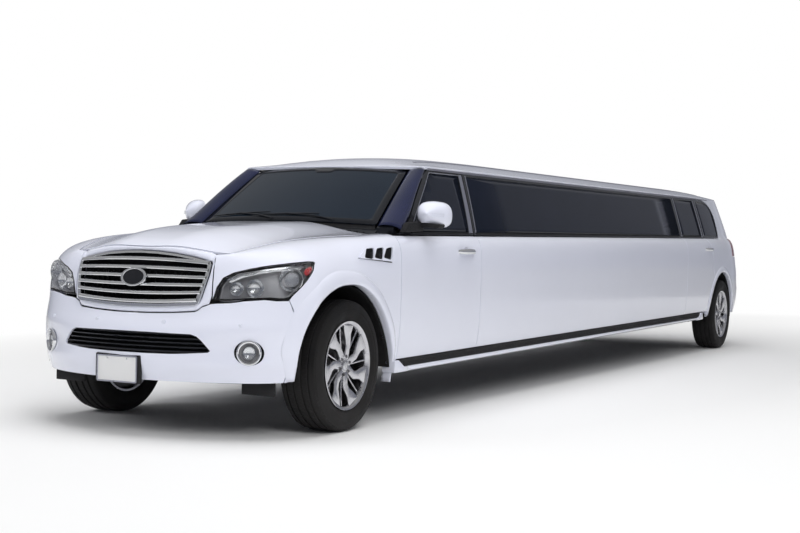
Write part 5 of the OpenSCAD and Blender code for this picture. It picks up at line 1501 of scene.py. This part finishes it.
def wheel_parts(cy):
    """The pieces of one wheel, with its axle at y = cy."""
    c = (WHEEL_X, cy, HUB_Z)
    half = .1375
    prof = [(-.100, .268), (-.112, .276), (-.124, .292), (-half, .330), (-half + .0005, .352), (-.1345, .372),
            (-.127, .392), (-.112, .4065)]
    for g in (-.078, -.028, .028, .078):
        w = .0055 if abs(g) > .05 else .0065
        prof += [(g - w, .4125), (g - w + .0015, .4045), (g + w - .0015, .4045), (g + w, .4125)]
    prof += [(.112, .4065), (.127, .392), (.1345, .372), (half, .352), (half, .346), (half - .002, .344),
             (half - .002, .322), (half - .004, .318), (half - .009, .303), (.121, .289), (.112, .276), (.100, .268)]
    tyre = turned(prof, "x", c, 96)
    blocks = [f for f in tyre.faces if abs(math.hypot(f.calc_center_median().y - cy, f.calc_center_median().z - HUB_Z)
                                          - .4115) < .0022]
    bmesh.ops.inset_individual(tyre, faces=blocks, thickness=.0022, depth=.0022, use_even_offset=True)
    shoulder = [f for f in tyre.faces if abs(math.hypot(f.calc_center_median().y - cy, f.calc_center_median().z - HUB_Z)
                                            - .399) < .004 and abs(f.calc_center_median().x - WHEEL_X) > .115]
    bmesh.ops.inset_individual(tyre, faces=shoulder, thickness=.003, depth=.002, use_even_offset=True)

    barrel = turned([(.121, .262), (.1265, .272), (.1275, .279), (.124, .2815), (.119, .279), (.114, .270),
                     (.100, .2645), (.02, .2600), (-.100, .2600), (-.112, .276), (-.118, .276), (-.116, .262),
                     (-.104, .2500), (.02, .2500), (.095, .2520), (.112, .256), (.121, .262)], "x", c, 72)
    inside = turned([(.090, .2495), (.03, .2485), (-.085, .2485), (-.090, .20), (-.085, .06), (-.085, 0)], "x", c, 48)

    def on_rim(outline, a0):
        """The outline, given as radius and degrees behind a0, on the wheel's face."""
        angles = [a0 - math.radians(d) for _, d in outline]
        return [(-r * math.cos(a), r * math.sin(a)) for (r, _), a in zip(outline, angles)]

    parts = []
    for i in range(SPOKES):
        a0 = math.radians(105 - i * 360 / SPOKES)
        spoke = extruded(on_rim(SPOKE, a0), "x", .060, .092, 0, 1)
        bmesh.ops.subdivide_edges(spoke, edges=[e for e in spoke.edges if e.calc_length() > .03], cuts=1)
        sharp = [e for e in spoke.edges if len(e.link_faces) == 2 and e.calc_face_angle(0) > .7 and
                 e.verts[0].co.x > .09 and e.verts[1].co.x > .09]
        bmesh.ops.bevel(spoke, geom=sharp, offset=.0055, segments=3, profile=.5, affect="EDGES", material=-1,
                        clamp_overlap=True)
        parts.append(spoke)
        parts.append(extruded(on_rim(BLADE, a0), "x", .050, .080, .0035, 2))
    spokes = joined(*parts)
    for v in spokes.verts:
        r = math.hypot(v.co.y, v.co.z)
        v.co.x += .026 * (r / .262) ** 1.6 + .010 * math.exp(-((r - .06) / .05) ** 2)
        v.co += Vector(c)
    hub = turned([(.055, .080), (.094, .078), (.100, .066), (.1015, .050), (.1005, .0)], "x", c, 42)
    cap = turned([(.095, .034), (.106, .033), (.109, .029), (.110, .018), (.1105, .0)], "x", c, 36)
    ring = turned([(.1095, .0285), (.1115, .027), (.1118, .0245), (.1100, .0235)], "x", c, 36)
    nuts = []
    for i in range(6):
        a = math.tau * i / 6 + .3
        at = Vector((c[0], c[1] + .0575 * math.cos(a), c[2] + .0575 * math.sin(a)))
        nut = turned([(.094, .0), (.094, .0105), (.108, .0100), (.1115, .0060), (.112, 0)], "x", (0, 0, 0), 6)
        well = turned([(.1012, .0125), (.1030, .0145), (.1005, .0165)], "x", (0, 0, 0), 20)
        nuts += [moved(nut, Matrix.Translation(at)), moved(well, Matrix.Translation(at))]
    a = math.radians(-40)
    valve = rod([(c[0] + .100, c[1] + .245 * math.cos(a), c[2] + .245 * math.sin(a)),
                 (c[0] + .122, c[1] + .238 * math.cos(a), c[2] + .238 * math.sin(a))], [.004, .0035], 10)
    disc = turned([(.020, .060), (.030, .062), (.030, .165), (.026, .168), (.008, .168), (.004, .165), (.004, .062)],
                  "x", c, 60)
    return tyre, barrel, inside, spokes, joined(hub, cap), ring, joined(*nuts, valve), disc


for where, cy in (("front", AXLE_Y), ("rear", AXLE_Y + WHEELBASE)):
    tyre, barrel, inside, spokes, hub, ring, nuts, disc = wheel_parts(cy)
    body = where + "_wheel_@"
    pair(where + "_tyre_rubber", tyre, tyre_rubber, body, [where + "_tyre_@"], angle=28)
    pair(where + "_rim_barrel", barrel, alloy, body, [where + "_rim_@"])
    # the inside of the rim and the nuts take the darker alloy, which is painted shade
    pair(where + "_rim_inside", inside, alloy_shaded, body)
    pair(where + "_rim_spokes", spokes, alloy, body)
    pair(where + "_rim_hub", hub, alloy, body)
    pair(where + "_rim_cap_ring", ring, chrome, body)
    pair(where + "_wheel_nuts", nuts, alloy_shaded, body)
    pair(where + "_brake_disc", disc, steel, body)

# tail lamps, stop lamp, rear plate well, bar, wiper and valance
def tail_loop(g, h0=1.039, h1=1.263):
    """The tail lamp's outline from h0 to h1 in height, smaller by g all round."""
    rows = (h0 + g, (h0 + h1) / 2, h1 - g)
    loop = [(tail_k_at_s(9.738 + g, h), h) for h in rows] + [seen(.80, h1 - g)]
    return loop + [seen(.711 + g, h) for h in reversed(rows)] + [seen(.80, h0 + g)]


def set_in(depth):
    """The tail's surface set inward."""
    def place(k, h):
        p = tail_point(k, h)
        return p - Vector((p.x, .9, 0)).normalized() * depth
    return place


lamp_k = [.06, .09, .12, .16, .20, .24, .28, .32, .36, .42, .48]
lamp_h = [1.08, 1.12, 1.16, 1.20, 1.24]
tail_lens = panel(tail_loop(.003), set_in(0), lamp_k, lamp_h, (.5, 1, 0))
piece("tail_lens", both_sides(tail_lens), lens_red, "body", ["tail_lights"], wall=.004, bevel=.001)
pair("tail_lamp_back", panel(tail_loop(.006), set_in(.035), lamp_k, lamp_h, (.5, 1, 0)), lamp_bowl,
     "body", wall=.004)
pair("tail_clear_band", panel(tail_loop(.012, 1.09, 1.145), set_in(-.0015), lamp_k, [1.12], (.5, 1, 0)), lens_clear,
     wall=.003, bevel=.001)
stop = patch(24, 3, lambda u, v: spoiler_point(.97, mix(.36, .64, u)) + Vector((0, .004, mix(-.020, -.006, v))),
             (0, 1, 0))
piece("high_stop_lamp", stop, lens_red, "tailgate", wall=.006, bevel=.001)
plate_well = patch(14, 8, lambda u, v: tail_at(mix(-.24, .24, u), mix(.86, 1.03, v)) + Vector((0, .002, 0)), (0, 1, 0))
piece("rear_plate_well", plate_well, grained_black, "tailgate", wall=.003)
y0 = tail_point(1, 1.06).y
bar = extruded([(-.33, 1.062), (.33, 1.062), (.315, 1.092), (-.315, 1.092)], "y", y0 - .006, y0 + .012, .004, 3)
piece("tailgate_bar", moved(bar, Matrix.Translation((0, 0, lift(10.2)))), chrome, "tailgate")
knob = tail_point(1, 1.40) + Vector((0, .012, 0))
wiper_tip = tail_at(-.34, 1.47) + Vector((0, .016, 0))
arm = joined(rod([knob, knob.lerp(wiper_tip, .5) + Vector((0, .010, .006)), wiper_tip], [.011, .008, .005], 10),
             turned([(-.012, .0), (-.012, .020), (.008, .018), (.012, 0)], "y", knob, 18))
piece("rear_wiper", arm, trim_black, "tailgate")
valance_r = patch(36, 4, lambda u, v: Vector((mix(-.80, .80, u), tail_at(mix(-.80, .80, u), .36).y - .035,
                                              mix(.345, .43, v))), (0, 1, 0))
bmesh.ops.delete(valance_r, geom=[f for f in valance_r.faces if abs(f.calc_center_median().x) < .09], context="FACES")
piece("rear_under_valance", valance_r, grained_black, wall=.005)
pair("rear_reflector", panel(rounded([(.45, .62), (.60, .62), (.60, .65), (.45, .65)], .008),
                             lambda x, h: tail_at(x, h) + Vector((0, .002, 0)), [.5, .55], [], (0, 1, 0)),
     reflector_red, wall=.003)


# ---------------------------------------------------------------- cabin
def cushion(x0, x1, y0, y1, z0, z1, seams_x=0, seams_y=0, power=7, cuts=22, tilt=0.0, face="z"):
    """A crowned cushion with stitched channels across its top or front."""
    bm = bmesh.new()
    bmesh.ops.create_cube(bm, size=2)
    bmesh.ops.subdivide_edges(bm, edges=bm.edges[:], cuts=cuts, use_grid_fill=True)
    cx, cy, cz = (x0 + x1) / 2, (y0 + y1) / 2, (z0 + z1) / 2
    hx, hy, hz = (x1 - x0) / 2, (y1 - y0) / 2, (z1 - z0) / 2
    for v in bm.verts:
        a, b, c = v.co
        k = (abs(a) ** power + abs(b) ** power + abs(c) ** power) ** (-1 / power)
        a, b, c = a * k, b * k, c * k
        drop = 0.0
        for n, w, half in ((seams_x, a, hx), (seams_y, b if face == "z" else c, hy if face == "z" else hz)):
            for i in range(n):
                d = (w - mix(-1, 1, (i + 1) / (n + 1))) * half
                drop += .011 * math.exp(-(d / .011) ** 2)
        edge = min(1 - abs(a), 1 - abs(b) if face == "z" else 1 - abs(c)) if (c if face == "z" else -b) > .5 else 1
        drop += .006 * math.exp(-((edge - .07) / .03) ** 2)
        x, y, z = cx + a * hx, cy + b * hy, cz + c * hz
        if face == "z" and c > .4:
            z -= drop
        elif face == "y" and b < -.4:
            y += drop
        v.co = (x, y + tilt * (z - z0), z)
    bmesh.ops.recalc_face_normals(bm, faces=bm.faces)
    return bm


SEATS = []


def seat(name, bm, replaces=()):
    ob = piece(name, bm, leather, "body", replaces)
    SEATS.append(ob)
    return ob


CROWN, SIDEWAYS, LAST_FRAME = .014, .0035, 20


def fill_seats():
    """Pressure inside each sewn cover rounds it, as far as a fixed limit on each axis leaves room."""
    sewn = {}
    for ob in SEATS:
        sewn[ob.name] = [v.co.copy() for v in ob.data.vertices]
        cloth = ob.modifiers.new("Filling", "CLOTH")
        cloth.settings.quality = 4
        cloth.settings.use_pressure = True
        cloth.settings.uniform_pressure_force = 4
        cloth.settings.effector_weights.gravity = 0
        cloth.collision_settings.use_collision = False
        cloth.point_cache.frame_end = LAST_FRAME
    for frame_no in range(1, LAST_FRAME + 1):
        bpy.context.scene.frame_set(frame_no)
    graph = bpy.context.evaluated_depsgraph_get()
    filled = {ob.name: [v.co.copy() for v in ob.evaluated_get(graph).data.vertices] for ob in SEATS}
    for ob in SEATS:
        ob.modifiers.remove(ob.modifiers["Filling"])
        upright = "back" in ob.name or "headrest" in ob.name
        room = (SIDEWAYS, CROWN, SIDEWAYS) if upright else (SIDEWAYS, SIDEWAYS, CROWN)
        for v, start, end in zip(ob.data.vertices, sewn[ob.name], filled[ob.name]):
            move = end - start
            v.co = start + Vector([max(-r, min(r, m)) for r, m in zip(room, move)])
        ob.data.update()
    bpy.context.scene.frame_set(1)


for side, sx in (("left", 1), ("right", -1)):
    cx = .38 * sx
    y = AXLE_Y + 1.34
    seat("front_seat_cushion_" + side, cushion(cx - .26, cx + .26, y - .02, y + .50, .66, .85, 2, 1),
         ["front_seats"] if sx > 0 else ())
    seat("front_seat_back_" + side, cushion(cx - .25, cx + .25, y + .44, y + .60, .78, 1.40, 2, 2, face="y", tilt=.12))
    headrest = cushion(cx - .13, cx + .13, y + .525, y + .625, 1.40, 1.58, power=4, cuts=14, face="y", tilt=.10)
    seat("front_seat_headrest_" + side, headrest)
BENCH_FRONT, BENCH_REAR, BENCH_SEATS = 2.60, 7.475, 6
for i in range(BENCH_SEATS):
    near = AXLE_Y + mix(BENCH_FRONT, BENCH_REAR, i / BENCH_SEATS) + .005
    far = AXLE_Y + mix(BENCH_FRONT, BENCH_REAR, (i + 1) / BENCH_SEATS) - .005
    seat("bench_cushion_%d" % i, cushion(-.78, -.33, near, far, .78, .96, 1, 2, cuts=18),
         ["lounge_seats"] if i == 0 else ())
    back = cushion(-.84, -.70, near, far, .93, 1.34, 0, 2, cuts=18)
    seat("bench_back_%d" % i, back)
for i in range(2):
    near, far = mix(-.54, .54, i / 2) + .004, mix(-.54, .54, (i + 1) / 2) - .004
    seat("rear_cushion_%d" % i, cushion(near, far, AXLE_Y + 8.755, AXLE_Y + 9.30, .78, .96, 1, 1, cuts=18))
    seat("rear_back_%d" % i, cushion(near, far, AXLE_Y + 9.26, AXLE_Y + 9.42, .93, 1.42, 1, 1, cuts=18, face="y"))


fill_seats()

# ---------------------------------------------------------------- camera, floor and light
CAMERA_X, CAMERA_S, CAMERA_Z = 5.2562, -7.5741, 1.1916
CAMERA_YAW, CAMERA_PITCH, CAMERA_ROLL = -.47683667, -.01195771, .02192362
LENS_MM = 62.4756825


def set_up_view():
    """The camera looks along d, with right and up turned about it by the roll."""
    yaw, pitch, roll = CAMERA_YAW, CAMERA_PITCH, CAMERA_ROLL
    d = Vector((math.sin(yaw) * math.cos(pitch), math.cos(yaw) * math.cos(pitch), math.sin(pitch)))
    r = d.cross(Vector((0, 0, 1))).normalized()
    u = r.cross(d)
    right = math.cos(roll) * r + math.sin(roll) * u
    up = -math.sin(roll) * r + math.cos(roll) * u
    data = bpy.data.cameras.new("camera")
    data.sensor_width, data.lens = 36, LENS_MM
    data.shift_x, data.shift_y = -.0021, -.0088
    data.clip_end = 300
    cam = bpy.data.objects.new("camera", data)
    bpy.context.scene.collection.objects.link(cam)
    m = Matrix((right, up, -d)).transposed().to_4x4()
    m.translation = Vector((CAMERA_X, CAMERA_S + AXLE_Y, CAMERA_Z))
    cam.matrix_world = m
    bpy.context.scene.camera = cam


def light(name, energy, size, at, towards, colour=(1, 1, 1)):
    """A round soft light that shows no disc of its own in bright surfaces."""
    data = bpy.data.lights.new(name, "AREA")
    data.energy, data.size, data.color = energy, size, colour
    data.shape = "DISK"
    ob = bpy.data.objects.new(name, data)
    bpy.context.scene.collection.objects.link(ob)
    ob.location = at
    ob.rotation_euler = (Vector(towards) - Vector(at)).to_track_quat("-Z", "Y").to_euler()
    ob.visible_glossy = False


def set_up_room():
    """White floor that fades to plain white far out, a grey-blue to white sky, and four soft lights."""
    bm = bmesh.new()
    bmesh.ops.create_grid(bm, x_segments=1, y_segments=1, size=80)
    me = bpy.data.meshes.new("floor")
    bm.to_mesh(me)
    bm.free()
    floor = bpy.data.objects.new("floor", me)
    bpy.context.scene.collection.objects.link(floor)
    m = bpy.data.materials.new("studio_floor")
    m.use_nodes = True
    nt = m.node_tree
    shader = nt.nodes["Principled BSDF"]
    shader.inputs["Base Color"].default_value = (.84, .84, .84, 1)
    shader.inputs["Roughness"].default_value = .9
    shader.inputs["Specular IOR Level"].default_value = .1
    place, length = new_node(nt, "TexCoord"), new_node(nt, "VectorMath")
    squash = new_node(nt, "Mapping")
    squash.inputs["Scale"].default_value = (1, .45, 1)
    length.operation = "LENGTH"
    far = new_node(nt, "MapRange")
    far.inputs["From Min"].default_value, far.inputs["From Max"].default_value = 2.6, 6.5
    path, both = new_node(nt, "LightPath"), new_node(nt, "Math")
    both.operation = "MULTIPLY"
    white, out = new_node(nt, "Emission"), nt.nodes["Material Output"]
    blend = new_node(nt, "MixShader")
    wire(nt, (place, "Object", squash, "Vector"), (squash, "Vector", length, 0), (length, "Value", far, "Value"),
         (far, "Result", both, 0), (path, "Is Camera Ray", both, 1), (both, 0, blend, "Fac"),
         (shader, "BSDF", blend, 1), (white, "Emission", blend, 2), (blend, "Shader", out, "Surface"))
    me.materials.append(m)

    world = bpy.data.worlds.new("studio")
    bpy.context.scene.world = world
    world.use_nodes = True
    nt = world.node_tree
    back = nt.nodes["Background"]
    seen = new_node(nt, "Background")
    seen.inputs["Color"].default_value = (1, 1, 1, 1)
    seen.inputs["Strength"].default_value = 1.0
    place, xyz = new_node(nt, "TexCoord"), new_node(nt, "SeparateXYZ")
    ramp = new_node(nt, "ValToRGB")
    ramp.color_ramp.elements[0].position, ramp.color_ramp.elements[0].color = .0, (.57, .60, .73, 1)
    ramp.color_ramp.elements[1].position, ramp.color_ramp.elements[1].color = .55, (1, 1, 1, 1)
    wire(nt, (place, "Generated", xyz, 0), (xyz, "Z", ramp, "Fac"), (ramp, "Color", back, "Color"))
    back.inputs["Strength"].default_value = .38
    path, blend = new_node(nt, "LightPath"), new_node(nt, "MixShader")
    wire(nt, (path, "Is Camera Ray", blend, "Fac"), (back, "Background", blend, 1), (seen, "Background", blend, 2))
    nt.links.new(blend.outputs["Shader"], nt.nodes["World Output"].inputs["Surface"])
    light("overhead", 760, 10, (1.0, -3.5, 10.5), (0, -2, .5))
    light("front_left", 410, 5, (7.5, -10.5, 7.0), (0, -4, .8))
    light("front_right", 140, 4, (-6.0, -10, 5.5), (0, -4.5, .8), (.97, .98, 1))
    light("rear", 215, 6, (2, 12, 5), (0, 3, .8))
    bpy.context.scene.view_settings.view_transform = "Standard"


set_up_view()
set_up_room()
